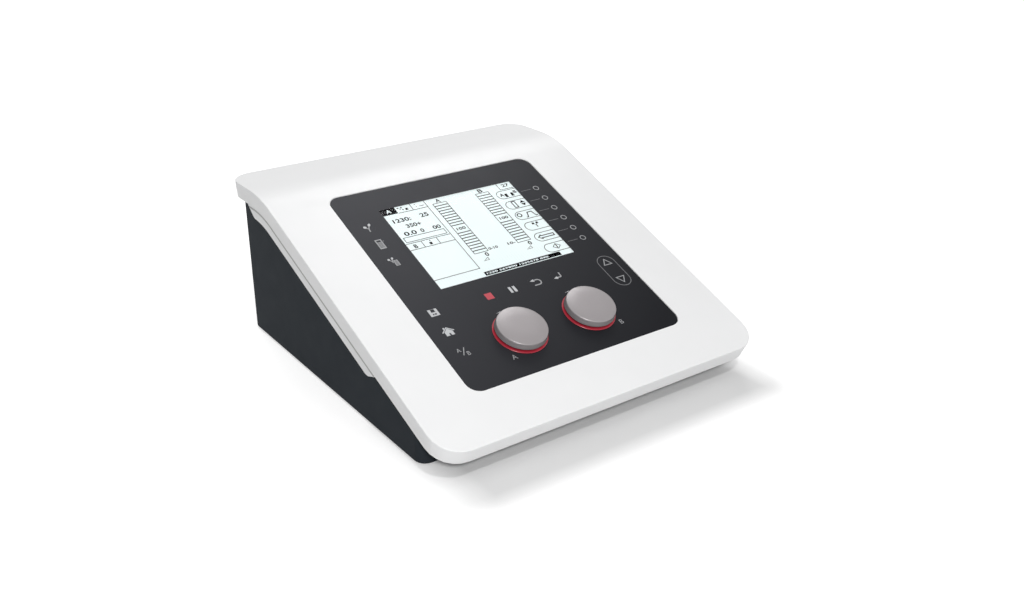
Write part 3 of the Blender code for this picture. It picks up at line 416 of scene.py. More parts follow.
def make_finishes():
    """Every finish, by its slot in the record or by its use."""
    return {
        "white_moulding": finish(
            "white_moulding", (0.85, 0.853, 0.857), 0.36, 0.0007, 0.000004, mottle=0.008, gloss=0.35
        ),
        "anthracite_moulding": finish(
            "dark_moulding", (0.028, 0.033, 0.039), 0.6, 0.0009, 0.00002, gloss=0.03
        ),
        "charcoal_panel": panel_foil(),
        "clear_pane": clear_pane(),
        "display_face": finish("module_steel", (0.5, 0.5, 0.5), 0.35, 0.0006, 0.000005, metallic=0.9),
        "satin_silver": dial_metal("a"),
        "satin_silver_b": dial_metal("b"),
        "red_ring": finish("ring_red", (0.42, 0.026, 0.045), 0.34, 0.0006, 0.000003),
        "zinc": finish("zinc_plate", (0.58, 0.58, 0.59), 0.32, 0.0008, 0.000006, metallic=1.0),
        "circuit_board": finish("board_green", (0.02, 0.11, 0.05), 0.4, 0.0012, 0.00001, mottle=0.15),
        "core": finish("core_iron", (0.06, 0.055, 0.05), 0.6, 0.0007, 0.00003, mottle=0.1),
        "black_moulding": finish("black_moulding", (0.014, 0.014, 0.015), 0.45, 0.0008, 0.00001, gloss=0.3),
        "rear_plate": finish("plate_paint", (0.085, 0.088, 0.092), 0.5, 0.0006, 0.00002, mottle=0.05),
        "brass": finish("contact_brass", (0.62, 0.45, 0.19), 0.26, 0.0005, 0.000003, metallic=1.0),
        "foot_rubber": finish(
            "foot_rubber", (0.022, 0.022, 0.022), 0.8, 0.0005, 0.00003, mottle=0.12, gloss=0.2
        ),
        # Grey of the painted shadow line under the cover's rim
        "seam_grey": finish("seam_grey", (0.50, 0.50, 0.49), 0.7, 0.0004, 0.000004, gloss=0.1),
        "print_pale": finish("print_pale", (0.50, 0.51, 0.525), 0.5, 0.0004, 0.000002),
        "print_grey": finish("print_grey", (0.30, 0.305, 0.315), 0.5, 0.0004, 0.000002),
        "print_dim": finish("print_dim", (0.15, 0.152, 0.16), 0.5, 0.0004, 0.000002),
        "print_red": finish("print_red", (0.45, 0.035, 0.055), 0.5, 0.0004, 0.000002),
        "screen_light": screen_light(),
        "screen_ink": finish("screen_ink", (0.002, 0.002, 0.003), 0.5, 0.0004, 0.000002, gloss=0.0),
    }


FINISHES = make_finishes()


# Making pieces

def evaluated_mesh(obj):
    """Plain mesh of an object with its modifiers, which then goes away."""
    bpy.context.scene.collection.objects.link(obj)
    bpy.context.view_layer.update()
    mesh = bpy.data.meshes.new_from_object(obj.evaluated_get(bpy.context.evaluated_depsgraph_get()))
    bpy.data.objects.remove(obj, do_unlink=True)
    return mesh


def piece(name, mesh, body, *finish_names, replaces=(), slot=None):
    """Adds a finished mesh as a piece that moves with a body."""
    for finish_name in finish_names:
        mesh.materials.append(FINISHES[finish_name])
    obj = bpy.data.objects.new(name, mesh)
    bpy.context.scene.collection.objects.link(obj)
    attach(obj, body)
    if replaces:
        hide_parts(*replaces)


def as_mesh(name, shape, place=None):
    """Closes a shape into a mesh with smooth faces and crisp edges, laid in its place."""
    bmesh.ops.remove_doubles(shape, verts=shape.verts, dist=MERGE)
    if place is not None:
        bmesh.ops.transform(shape, matrix=place, verts=shape.verts)
    mesh = bpy.data.meshes.new(name)
    shape.to_mesh(mesh)
    shape.free()
    mesh.polygons.foreach_set("use_smooth", [True] * len(mesh.polygons))
    mesh.set_sharp_from_angle(angle=SMOOTH_ANGLE)
    return mesh


def even_shading(mesh):
    """The mesh with its normals led by its large faces, so that flats stay flat beside rounded edges."""
    obj = bpy.data.objects.new(mesh.name, mesh)
    normals = obj.modifiers.new("normals", "WEIGHTED_NORMAL")
    normals.keep_sharp = True
    return evaluated_mesh(obj)


def smoothed(node, body="console"):
    """Piece in the place of a CAD node, with the node's facets blended into smooth faces."""
    shape = bmesh.new()
    shape.from_mesh(nodes[node].data)
    bmesh.ops.remove_doubles(shape, verts=shape.verts, dist=MERGE)
    bmesh.ops.dissolve_limit(shape, angle_limit=FLAT_ANGLE, verts=shape.verts, edges=shape.edges)
    mesh = even_shading(as_mesh(f"{node}_skin", shape))
    piece(f"{node}_skin", mesh, body, slots[node], replaces=[node], slot=slots[node])


# Flat outlines and solids over them

def circle(x, y, radius, steps=ROUND_STEPS):
    turns = [2 * math.pi * k / steps for k in range(steps)]
    return [(x + radius * math.cos(a), y + radius * math.sin(a)) for a in turns]


def arc(x, y, radius, start, end, steps=CORNER_STEPS):
    """Points round part of a circle, from one angle to another in degrees."""
    turns = [math.radians(start + (end - start) * k / steps) for k in range(steps + 1)]
    return [(x + radius * math.cos(a), y + radius * math.sin(a)) for a in turns]


def oval(x, y, length, width, tilt):
    """Outline of an oval whose length is tilted by an angle in degrees."""
    along = Vector((math.cos(math.radians(tilt)), math.sin(math.radians(tilt))))
    across = Vector((-along.y, along.x))
    middle, along, across = Vector((x, y)), along * length / 2, across * width / 2
    return [tuple(middle + along * a + across * b) for a, b in circle(0, 0, 1, 24)]


def rectangle(left, low, right, high):
    return [(left, low), (right, low), (right, high), (left, high)]


def rounded(half_width, half_height, radius):
    """Outline of a rectangle with round corners, centred."""
    x, y = half_width - radius, half_height - radius
    corners = ((x, -y, -90), (x, y, 0), (-x, y, 90), (-x, -y, 180))
    return [point for cx, cy, start in corners for point in arc(cx, cy, radius, start, start + 90)]


def ring(shape, outline, height):
    return [shape.verts.new((x, y, height)) for x, y in outline]


def skin(shape, rings, closed=False, slot=0):
    """Joins rings of as many points each by faces, and the last ring to the first when closed."""
    pairs = list(zip(rings, rings[1:]))
    if closed:
        pairs.append((rings[-1], rings[0]))
    faces = []
    for first, second in pairs:
        for k in range(len(first)):
            after = (k + 1) % len(first)
            corners = dict.fromkeys((first[k], second[k], second[after], first[after]))
            faces.append(shape.faces.new(list(corners)))
            faces[-1].material_index = slot
    bmesh.ops.recalc_face_normals(shape, faces=faces)


def prism(shape, outline, low, high, slot=0):
    """Adds an upright closed solid over a flat outline."""
    floor = shape.faces.new(ring(shape, outline, low))
    raised = bmesh.ops.extrude_face_region(shape, geom=[floor])["geom"]
    verts = [part for part in raised if isinstance(part, bmesh.types.BMVert)]
    bmesh.ops.translate(shape, verts=verts, vec=(0, 0, high - low))
    faces = {face for vert in verts for face in vert.link_faces} | {floor}
    bmesh.ops.recalc_face_normals(shape, faces=list(faces))
    for face in faces:
        face.material_index = slot


def band(shape, outer, inner, low, high, slot=0):
    """Adds a closed ring between two outlines of as many points each."""
    corners = ((outer, low), (outer, high), (inner, high), (inner, low))
    skin(shape, [ring(shape, outline, height) for outline, height in corners], True, slot)


def turned(shape, x, y, profile, steps, closed=False, slot=0):
    """Adds a turned solid from points of radius and height; it closes on its axis or on itself."""
    rings = []
    for radius, height in profile:
        if radius < MERGE:
            rings.append(ring(shape, [(x, y)], height) * steps)
        else:
            rings.append(ring(shape, circle(x, y, radius, steps), height))
    skin(shape, rings, closed, slot)


def offset_path(points, reach, closed):
    """Points of a path moved sideways by reach, with mitred corners."""
    count = len(points)
    moved = []
    for k, point in enumerate(points):
        here = Vector(point)
        before = Vector(points[k - 1]) if closed or k else None
        after = Vector(points[(k + 1) % count]) if closed or k < count - 1 else None
        steps = [(b - a).normalized() for a, b in ((before, here), (here, after)) if a and b]
        sides = [Vector((-step.y, step.x)) for step in steps]
        mean = sum(sides, Vector((0, 0))).normalized()
        moved.append(tuple(here + mean * reach / max(mean.dot(sides[0]), MITRE_LIMIT)))
    return moved


def lettering(characters, weight):
    """Flat mesh of printed characters, in a box from -0.5 to 0.5 high; weight makes their strokes bolder."""
    curve = bpy.data.curves.new("lettering", "FONT")
    curve.body = characters
    curve.resolution_u = LETTER_STEPS
    curve.offset = weight
    curve.extrude = 0.5
    mesh = evaluated_mesh(bpy.data.objects.new("lettering", curve))
    xs = [vert.co.x for vert in mesh.vertices]
    ys = [vert.co.y for vert in mesh.vertices]
    tall = max(ys) - min(ys)
    middle = Vector(((min(xs) + max(xs)) / 2, (min(ys) + max(ys)) / 2, 0))
    mesh.transform(Matrix.Diagonal((1 / tall, 1 / tall, 1, 1)) @ Matrix.Translation(-middle))
    return mesh, (max(xs) - min(xs)) / tall


class Pen:
    """Prints flat marks, in its own units from a point; up is -1 where they are counted downwards."""

    def __init__(self, shape, origin, unit, level=0.0, ink=0, up=1, weight=0.0):
        self.shape = shape
        self.origin = origin
        self.unit = unit
        self.level = level
        self.ink = ink
        self.up = up
        self.weight = weight

    def place(self, points):
        x, y = self.origin[0], self.origin[1]
        return [(x + a * self.unit, y + self.up * b * self.unit) for a, b in points]

    def heights(self, layer):
        return self.level + layer * PRINT - PRINT_ROOT, self.level + (layer + 1) * PRINT

    def fill(self, points, ink=None, layer=0):
        prism(self.shape, self.place(points), *self.heights(layer), self.ink if ink is None else ink)

    def box(self, left, top, right, bottom, ink=None, layer=0):
        self.fill(rectangle(left, top, right, bottom), ink, layer)

    def line(self, points, width, closed=False, ink=None):
        path = self.place(points)
        left, right = (offset_path(path, side * width * self.unit / 2, closed) for side in (1, -1))
        ink = self.ink if ink is None else ink
        if closed:
            band(self.shape, left, right, *self.heights(0), ink)
        else:
            prism(self.shape, left + right[::-1], *self.heights(0), ink)

    def text(self, characters, x, y, height, width=None, ink=None, layer=0):
        """Characters centred on a point, fitted to a height and to a width where one is given."""
        mesh, aspect = lettering(characters, self.weight)
        self.stamp(mesh, x, y, (width / aspect if width else height, height), ink, layer)

    def stamp(self, mesh, x, y, scale, ink=None, layer=0):
        """A flat mesh laid on a point."""
        low, high = self.heights(layer)
        across, along = (size * self.unit for size in scale)
        (x, y), = self.place([(x, y)])
        size = Matrix.Diagonal((across, along, high - low, 1))
        mesh.transform(Matrix.Translation((x, y, (low + high) / 2)) @ size)
        mesh.polygons.foreach_set("material_index", [self.ink if ink is None else ink] * len(mesh.polygons))
        self.shape.from_mesh(mesh)


def repeat_tree(name, path_kind, shape_kind, **sizes):
    """Nodes that repeat a shape on the points of a path; each size says its kind, and where it goes."""
    tree = bpy.data.node_groups.new(name, "GeometryNodeTree")
    for size, (kind, _, _) in sizes.items():
        tree.interface.new_socket(size, in_out="INPUT", socket_type=f"NodeSocket{kind}")
    tree.interface.new_socket("Ink", in_out="INPUT", socket_type="NodeSocketMaterial")
    tree.interface.new_socket("Copies", in_out="OUTPUT", socket_type="NodeSocketGeometry")
    given = tree.nodes.new("NodeGroupInput")
    made = {"path": tree.nodes.new(path_kind), "shape": tree.nodes.new(shape_kind)}
    copies = tree.nodes.new("GeometryNodeInstanceOnPoints")
    real = tree.nodes.new("GeometryNodeRealizeInstances")
    ink = tree.nodes.new("GeometryNodeSetMaterial")
    out = tree.nodes.new("NodeGroupOutput")
    link = tree.links.new
    for size, (_, node, socket) in sizes.items():
        link(given.outputs[size], made[node].inputs[socket])
    link(made["path"].outputs["Mesh"], copies.inputs["Points"])
    link(made["shape"].outputs["Mesh"], copies.inputs["Instance"])
    link(copies.outputs["Instances"], real.inputs["Geometry"])
    link(real.outputs["Geometry"], ink.inputs["Geometry"])
    link(given.outputs["Ink"], ink.inputs["Material"])
    link(ink.outputs["Geometry"], out.inputs["Copies"])
    return tree


def repeated(tree, ink, **values):
    """Plain mesh of what a tree repeats."""
    values["Ink"] = FINISHES[ink]
    obj = bpy.data.objects.new(tree.name, bpy.data.meshes.new(tree.name))
    modifier = obj.modifiers.new(tree.name, "NODES")
    modifier.node_group = tree
    for item in tree.interface.items_tree:
        if item.in_out == "INPUT":
            modifier[item.identifier] = values[item.name]
    return evaluated_mesh(obj)


BAR_ROW = repeat_tree(
    "bar_row",
    "GeometryNodeMeshLine",
    "GeometryNodeMeshCube",
    Count=("Int", "path", "Count"),
    Step=("Vector", "path", "Offset"),
    Bar=("Vector", "shape", "Size"),
)
PIN_RING = repeat_tree(
    "pin_ring",
    "GeometryNodeMeshCircle",
    "GeometryNodeMeshCylinder",
    Count=("Int", "path", "Vertices"),
    Ring=("Float", "path", "Radius"),
    Pin=("Float", "shape", "Radius"),
    Length=("Float", "shape", "Depth"),
)


# Control panel

def screen_outline(grow):
    return rectangle(screen_low.x - grow, screen_low.y - grow, screen_high.x + grow, screen_high.y + grow)


def make_foil():
    """Panel foil with a rounded outer edge, a thin lip round the screen and a close hole for every key."""
    holes = [circle(place.x, place.y, radius + KEY_GAP) for place, radius in key_places.values()]
    for ending in "ab":
        place, radius = round_place(f"encoder_nut_{ending}")
        holes.append(circle(place.x, place.y, radius * NUT_HOLE))
    turns = [math.pi / 2 * k / EDGE_STEPS for k in range(EDGE_STEPS + 1)]
    profile = [(FOIL_EDGE * (1 - math.sin(a)), FOIL_EDGE * (math.cos(a) - 1)) for a in turns]
    profile.append((0, -FOIL_THICK))
    shape = bmesh.new()
    rings = []
    for inset, height in profile:
        outline = rounded(panel_half.x - inset, panel_half.y - inset, PANEL_CORNER - inset)
        rings.append(ring(shape, outline, height))
    skin(shape, rings)
    tops, bottoms = [rings[0]], [rings[-1]]
    for hole in holes:
        tops.append(ring(shape, hole, 0))
        bottoms.append(ring(shape, hole, -FOIL_THICK))
        skin(shape, [tops[-1], bottoms[-1]])
    window = ((0, 0), (0, -WINDOW_LIP), (WINDOW_SEAT, -WINDOW_LIP), (WINDOW_SEAT, -FOIL_THICK))
    rings = [ring(shape, screen_outline(grow), height) for grow, height in window]
    skin(shape, rings)
    tops.append(rings[0])
    bottoms.append(rings[-1])
    for loops in (tops, bottoms):
        pairs = [(vert, loop[(k + 1) % len(loop)]) for loop in loops for k, vert in enumerate(loop)]
        bmesh.ops.triangle_fill(shape, edges=[shape.edges.get(pair) for pair in pairs], use_beauty=True)
    bmesh.ops.recalc_face_normals(shape, faces=shape.faces)
    mesh = even_shading(as_mesh("panel_foil", shape, PANEL))
    piece("panel_foil", mesh, "console", "charcoal_panel", replaces=["control_panel"], slot="charcoal_panel")


# Signs on the keys, in millimetres from a key's middle

def sign_lead(pen):
    """Lead that splits to two electrodes."""
    pen.fill(oval(-1.95, 0.3, 2.5, 2.3, 135))
    pen.fill(oval(2.1, 1.8, 3.2, 2.0, 60))
    pen.line([(-1.6, -0.4), (-0.1, -2.0)], 0.7, ink=2)
    pen.line([(1.5, 0.6), (0.3, -1.6), (-0.1, -3.0), (-0.2, -5.0)], 0.8, ink=2)


def sign_card(pen):
    """Card with ruled lines, and a dash beside it."""
    pen.line(rectangle(-2.0, -4.6, 2.1, 4.3), 0.85, closed=True, ink=2)
    for k in range(6):
        pen.line([(-1.6, 1.6 - 1.1 * k), (1.7, 1.6 - 1.1 * k)], 0.65, ink=2)
    pen.line([(2.9, 2.3), (3.9, 2.3)], 0.8, ink=3)


def sign_lead_card(pen):
    """Lead beside a card."""
    pen.fill(oval(-2.7, 2.4, 1.9, 1.7, 90))
    pen.fill(oval(0.2, 3.0, 2.3, 1.6, 60))
    pen.line([(-2.3, 1.6), (-1.0, -0.2)], 0.6, ink=2)
    pen.line([(-0.3, 1.9), (-1.0, -0.2), (-1.0, -1.4)], 0.6, ink=2)
    pen.line(rectangle(0.0, -4.4, 2.7, 0.6), 0.65, closed=True, ink=2)
    for k in range(4):
        pen.line([(0.3, -0.3 - 1.0 * k), (2.4, -0.3 - 1.0 * k)], 0.6, ink=2)


def sign_save(pen):
    """Storage disk."""
    pen.box(-3.4, -3.4, -1.4, 3.05)
    pen.box(1.5, -3.4, 3.4, 3.05)
    pen.box(-1.4, -1.1, 1.5, 0.1)
    pen.box(-1.4, -3.4, 1.5, -2.4)
    pen.box(-0.6, -2.4, 0.2, -1.1, ink=2)
    pen.box(-1.4, 2.6, 1.5, 3.05, ink=3)


def sign_home(pen):
    """House with a door and a chimney."""
    door = [(-0.4, -3.4), (-0.3, -1.7), (0.25, -1.0), (0.8, -1.7), (0.9, -3.4)]
    pen.fill([(-2.9, -3.4), *door, (3.2, -3.4), (3.2, 0.2), (0.2, 2.9), (-2.9, 0.2)])
    pen.line([(-4.4, -0.1), (0.2, 3.7), (4.5, 0.2)], 0.7)
    pen.box(-2.3, 2.2, -1.1, 4.1)


def sign_channel(pen):
    """Choice between the two channels."""
    pen.text("A", -2.9, 2.0, 3.1, ink=2)
    pen.line([(1.9, 3.4), (-1.6, -2.8)], 0.6, ink=2)
    pen.text("B", 2.5, -2.2, 3.3, ink=2)


def sign_stop(pen):
    pen.box(-2.85, -2.95, 2.85, 2.95)


def sign_pause(pen):
    pen.box(-2.75, -2.8, -0.75, 2.8)
    pen.box(0.65, -2.8, 2.75, 2.8)


def sign_back(pen):
    """Arrow that turns back to the left."""
    pen.line([(-0.4, 2.5), *arc(2.2, 0.1, 2.4, 90, -90, 12), (-2.0, -2.3)], 0.95, ink=2)
    pen.fill([(-3.5, 2.3), (-0.2, 1.1), (0.3, 2.5), (-0.2, 3.6)])


def sign_enter(pen):
    """Arrow down and to the left."""
    pen.line([(2.6, 3.2), (2.4, 0.6), *arc(1.3, 0.0, 1.1, 0, -90, 6), (-0.4, -1.1)], 1.0, ink=2)
    pen.fill([(-4.1, -1.2), (-1.4, -2.4), (-0.3, -1.2), (-1.4, 0.1)])


def sign_soft(pen):
    pen.line(circle(0, 0, 2.15, 40), 0.6, closed=True, ink=2)


def sign_up(pen):
    pen.line([(-3.5, -1.8), (3.5, -1.8), (0, 3.9)], 0.65, closed=True, ink=2)


def sign_down(pen):
    pen.line([(-3.5, 1.8), (0, -3.9), (3.5, 1.8)], 0.65, closed=True, ink=2)


KEY_SIGNS = {
    "key_lead": sign_lead,
    "key_card": sign_card,
    "key_lead_card": sign_lead_card,
    "key_save": sign_save,
    "key_home": sign_home,
    "key_channel": sign_channel,
    "key_stop": sign_stop,
    "key_pause": sign_pause,
    "key_back": sign_back,
    "key_enter": sign_enter,
    "key_up": sign_up,
    "key_down": sign_down,
}


def make_keys():
    """Key caps level with the foil, each printed with its sign."""
    for node, (place, radius) in key_places.items():
        cap = radius + KEY_GAP - SEAM
        shape = bmesh.new()
        turned(shape, place.x, place.y, [(0, 0), (cap, 0), (cap, -KEY_CAP), (0, -KEY_CAP)], ROUND_STEPS)
        sign = KEY_SIGNS.get(node, sign_soft)
        sign(Pen(shape, place, MILLIMETRE, ink=1))
        ink = "print_red" if node == "key_stop" else "print_pale"
        inks = (ink, "print_grey", "print_dim")
        mesh = as_mesh(f"{node}_cap", shape, PANEL)
        piece(f"{node}_cap", mesh, node, "charcoal_panel", *inks, replaces=[node], slot="charcoal_panel")


def make_panel_print():
    """Lines to the soft keys, the outline round the arrow keys, channel letters and output wedges."""
    shape = bmesh.new()
    first, last = key_places["key_soft_1"][0], key_places["key_soft_6"][0]
    pen = Pen(shape, first, MILLIMETRE)
    step = (last - first) / (SOFT_KEYS - 1)
    bars = repeated(BAR_ROW, "print_dim", Count=SOFT_KEYS, Step=step / MILLIMETRE, Bar=(*SOFT_LINE, 1))
    pen.stamp(bars, -SOFT_LINE_BACK, 0, (1, 1), ink=1)
    up, down = key_places["key_up"][0], key_places["key_down"][0]
    reach = (up.y - down.y) / 2 / MILLIMETRE
    pen = Pen(shape, (up + down) / 2, MILLIMETRE, ink=1)
    field = [*arc(0, reach, ARROW_FIELD, 0, 180, 24), *arc(0, -reach, ARROW_FIELD, 180, 360, 24)]
    pen.line(field, ARROW_FIELD_LINE, closed=True)
    for ending, (place, _) in dial_places.items():
        pen = Pen(shape, place, MILLIMETRE)
        side = -1 if ending == "a" else 1
        pen.text(ending.upper(), side * DIAL_LETTER_ASIDE, -DIAL_LETTER_DROP, DIAL_LETTER, ink=2)
        pen.fill(DIAL_WEDGE)
    mesh = as_mesh("panel_print", shape, PANEL)
    piece("panel_print", mesh, "console", "print_pale", "print_dim", "print_grey")


def make_dial(ending):
    """Turned dial, hollow below, with a domed top and a soft upper edge."""
    node = f"knob_{ending}"
    place, foot = dial_places[ending]
    low, high = on_panel(node)
    lean = math.atan(CROWN_POWER * DIAL_CROWN / foot)
    turns = [lean + (math.pi / 2 - lean) * k / EDGE_STEPS for k in range(EDGE_STEPS + 1)]
    spans = [k / CROWN_STEPS for k in range(CROWN_STEPS)]
    crown = high.z + DIAL_RISE
    shoulder = foot - DIAL_TAPER - DIAL_EDGE
    height = crown - DIAL_CROWN - DIAL_EDGE * math.cos(lean)
    reach = shoulder + DIAL_EDGE * math.sin(lean)
    profile = [(reach * span, crown - DIAL_CROWN * span ** CROWN_POWER) for span in spans]
    profile += [(shoulder + DIAL_EDGE * math.sin(a), height + DIAL_EDGE * math.cos(a)) for a in turns]
    profile += [(foot, low.z + DIAL_FOOT), (foot - DIAL_FOOT, low.z), (foot - DIAL_WALL, low.z)]
    profile += [(foot - DIAL_WALL, low.z + DIAL_FLOOR), (0, low.z + DIAL_FLOOR)]
    shape = bmesh.new()
    turned(shape, place.x, place.y, profile, DIAL_STEPS)
    mesh = even_shading(as_mesh(f"dial_{ending}", shape, PANEL))
    metal = "satin_silver" if ending == "a" else "satin_silver_b"
    piece(f"dial_{ending}", mesh, f"dial_{ending}", metal, replaces=[node], slot="satin_silver")


def make_dial_ring(ending):
    """Red ring under a dial."""
    node = f"knob_ring_{ending}"
    place = dial_places[ending][0]
    low, high = on_panel(node)
    outer = (high.x - low.x) / 2
    inner = outer - RING_WIDTH
    profile = [(inner, high.z), (outer - RING_EDGE, high.z), (outer, high.z - RING_EDGE)]
    profile += [(outer, low.z), (inner, low.z)]
    shape = bmesh.new()
    turned(shape, place.x, place.y, profile, DIAL_STEPS, closed=True)
    mesh = as_mesh(f"dial_ring_{ending}", shape, PANEL)
    piece(f"dial_ring_{ending}", mesh, "console", "red_ring", replaces=[node], slot="red_ring")


# Screen, in dots from its upper left corner, counted downwards

def screen_left_side(pen):
    """Channel tabs with their readings and the empty field below."""
    pen.box(-OVERRUN, -OVERRUN, TAB_WIDTH, 17)
    pen.text("A", 18.6, 6.6, 10.5, 11.5, ink=1, layer=1)
    dots = ((41.6, 3, 3), (50.2, 2.8, 3), (51, 9.7, 3), (59.6, 10.2, 6), (81.6, 3.3, 2), (82.6, 9.3, 2))
    for x, y, size in dots:
        pen.box(x - size / 2, y - size / 2, x + size / 2, y + size / 2)
    pen.line([(41.6, 3), (46.6, 7.8), (50.2, 2.8)], 1)
    pen.line([(71.6, -OVERRUN), (71.6, TAB_LINE)], THIN)
    pen.line([(88.6, 10.2), (100.6, 10.2)], THIN)
    pen.line([(TAB_WIDTH, TAB_LINE), (DIVIDER, TAB_LINE)], THIN)
    pen.line([(DIVIDER, -OVERRUN), (DIVIDER, FIELD_BOTTOM), (-OVERRUN, FIELD_BOTTOM)], THIN)
    pen.text("1230:", 32.1, 37.8, 11.5, 40)
    pen.text("25", 84.6, 37.1, 12, 19)
    pen.text("350+", 48.1, 58, 11, 34)
    pen.text("0.0", 28.6, 78.6, 12, 28)
    pen.text("0", 55.9, 78.8, 11, 8)
    pen.text("00", 89.6, 78.8, 11, 18)
    pen.line(rectangle(6.6, 88.4, 99.9, 102.2), THIN, closed=True)
    for y in (CELL_TOP, CELL_BOTTOM):
        pen.line([(-OVERRUN, y), (DIVIDER, y)], THIN)
    for x in (TAB_WIDTH, 71):
        pen.line([(x, CELL_TOP), (x, CELL_BOTTOM)], THIN)
    pen.text("B", 18.6, 116.8, 11)
    pen.box(49.6, 115.2, 55.6, 122.2)
    pen.box(53.1, 109.4, 55.1, 112.3)


def screen_channel(pen, left, head):
    """One channel's output ladder with its label and its zero."""
    right, middle = left + LADDER_WIDTH, left + LADDER_WIDTH / 2
    bottom = LADDER_TOP + LADDER_CELLS * LADDER_CELL
    pen.line(rectangle(left, LADDER_TOP, right, bottom), THIN, closed=True)
    first, last = LADDER_LABEL
    step, bar = (0, -LADDER_CELL, 0), (LADDER_WIDTH, RUNG, 1)
    for start, end in ((1, first - 1), (last + 1, LADDER_CELLS - 1)):
        rungs = repeated(BAR_ROW, "screen_ink", Count=end - start + 1, Step=step, Bar=bar)
        pen.stamp(rungs, middle, LADDER_TOP + start * LADDER_CELL, (1, 1))
    pen.text("100", middle + 0.4, LADDER_TOP + LADDER_CELL * (first + last) / 2, 8, 21)
    pen.text(head, middle, 6.6, 11, 11)
    pen.text("0", middle + 7.6, 184.6, 11, 8)
    pen.line([(middle - 9, 199.8), (middle + 4, 199.8), (middle + 4, 193), (middle - 5, 198)], 1)


def screen_soft_keys(pen):
    """Round-ended fields that run off the right edge, each with a small sign."""
    rows = [PILL_FIRST + PILL_PITCH * k for k in range(SOFT_KEYS)]
    for middle in rows:
        end = arc(PILL_LEFT + PILL_HALF, middle, PILL_HALF, 270, 90, 16)
        pen.line([(RIGHT_END, middle - PILL_HALF), *end, (RIGHT_END, middle + PILL_HALF)], THIN)
    pen.text("A", 279.8, rows[0] - 0.6, 10.5, 10.5)
    pen.box(286.2, rows[0] - 2, 292.8, rows[0] + 9)
    pen.box(301.2, rows[0] - 2, 307.8, rows[0] + 9)
    pen.text("B", 314.4, rows[0] - 2.4, 8.5, 8)
    pen.line(rectangle(285.6, rows[1] - 10, 293.6, rows[1] + 9), RUNG, closed=True)
    pen.fill([(304.2, rows[1] - 1.2), (310.2, rows[1] - 9), (316.2, rows[1] - 1.2)])
    pen.fill([(304.2, rows[1] + 1.2), (316.2, rows[1] + 1.2), (310.2, rows[1] + 9)])
    pen.line(circle(278.4, rows[2] - 2.4, 5, 20), RUNG, closed=True)
    pulse = [(290.6, 8), (295, 8), (300, -5.8), (310.8, -6), (314.6, 8), (319.6, 8)]
    pen.line([(x, rows[2] + y) for x, y in pulse], RUNG)
    pen.line([(291.2, rows[3] - 6), (296, rows[3] - 0.5), (300.8, rows[3] - 6)], 1)
    pen.line([(296, rows[3] - 0.5), (296, rows[3] + 6)], RUNG)
    for x in (291, 300.8):
        pen.box(x - 2.7, rows[3] - 9, x + 2.7, rows[3] - 3.6)
    shaft = [(283.6, -3.2), (314.6, -3.2), (314.6, 3.2), (283.6, 3.2)]
    arrow = [(276.2, 0), (283.6, -5.6), *shaft, (283.6, 5.6)]
    pen.line([(x, rows[4] + y) for x, y in arrow], RUNG, closed=True)
    diamond = [(288.6, 0), (297.6, -7.5), (306.6, 0), (297.6, 7.5)]
    pen.line([(x, rows[5] - 1 + y) for x, y in diamond], THIN, closed=True)
    pen.line([(297.6, rows[5] - 6), (297.6, rows[5] + 4)], RUNG)


def make_screen():
    """Lit sheet on the display glass, with its marks printed over it."""
    shape = bmesh.new()
    prism(shape, screen_outline(SCREEN_LAP), screen_level - SCREEN_SHEET + PRINT, screen_level)
    mesh = as_mesh("screen_sheet", shape, PANEL)
    piece("screen_sheet", mesh, "console", "screen_light", slot="display_face")

    shape = bmesh.new()
    corner = Vector((screen_low.x, screen_high.y))
    pen = Pen(shape, corner, screen_dot, screen_level + PRINT_ROOT, up=-1, weight=SCREEN_WEIGHT)
    screen_left_side(pen)
    screen_channel(pen, 119.2, "A")
    screen_channel(pen, 224.8, "B")
    pen.text("0-10", 166, 172, 7, 22)
    pen.text("10-", 211, 172, 7, 19)
    pen.line([(287.4, -OVERRUN), (287.4, 18.2), (RIGHT_END, 18.2)], THIN)
    pen.text("27", 306, 7, 9.5, 18)
    screen_soft_keys(pen)
    pen.box(106.6, 227.8, 292, 238.2)
    pen.text("1230 567890 1235678 890", 186, 233, 4.6, 150, ink=1, layer=1)
    piece("screen_marks", as_mesh("screen_marks", shape, PANEL), "console", "screen_ink", "screen_light")


# Housing, rear and feet

def dress_cad_nodes():
    """Gives every CAD node its finish, and what shows from outside a smooth skin."""
    for name, obj in nodes.items():
        obj.material_slots[0].material = FINISHES[slots[name]]
    for name in ("top_cover", "base_housing", "rear_panel", "mains_inlet", "switch_frame", *SOCKET_PINS):
        smoothed(name)
    for corner in ("front_left", "front_right", "rear_left", "rear_right"):
        smoothed(f"foot_{corner}")
        smoothed(f"cover_screw_{corner}")
    smoothed("switch_rocker", "rocker")


def rises_past(first, middle, last):
    """Whether the way from the first point to the last passes above the middle one."""
    run, way = Vector(middle) - Vector(first), Vector(last) - Vector(first)
    return run.x * way.y - run.y * way.x >= 0


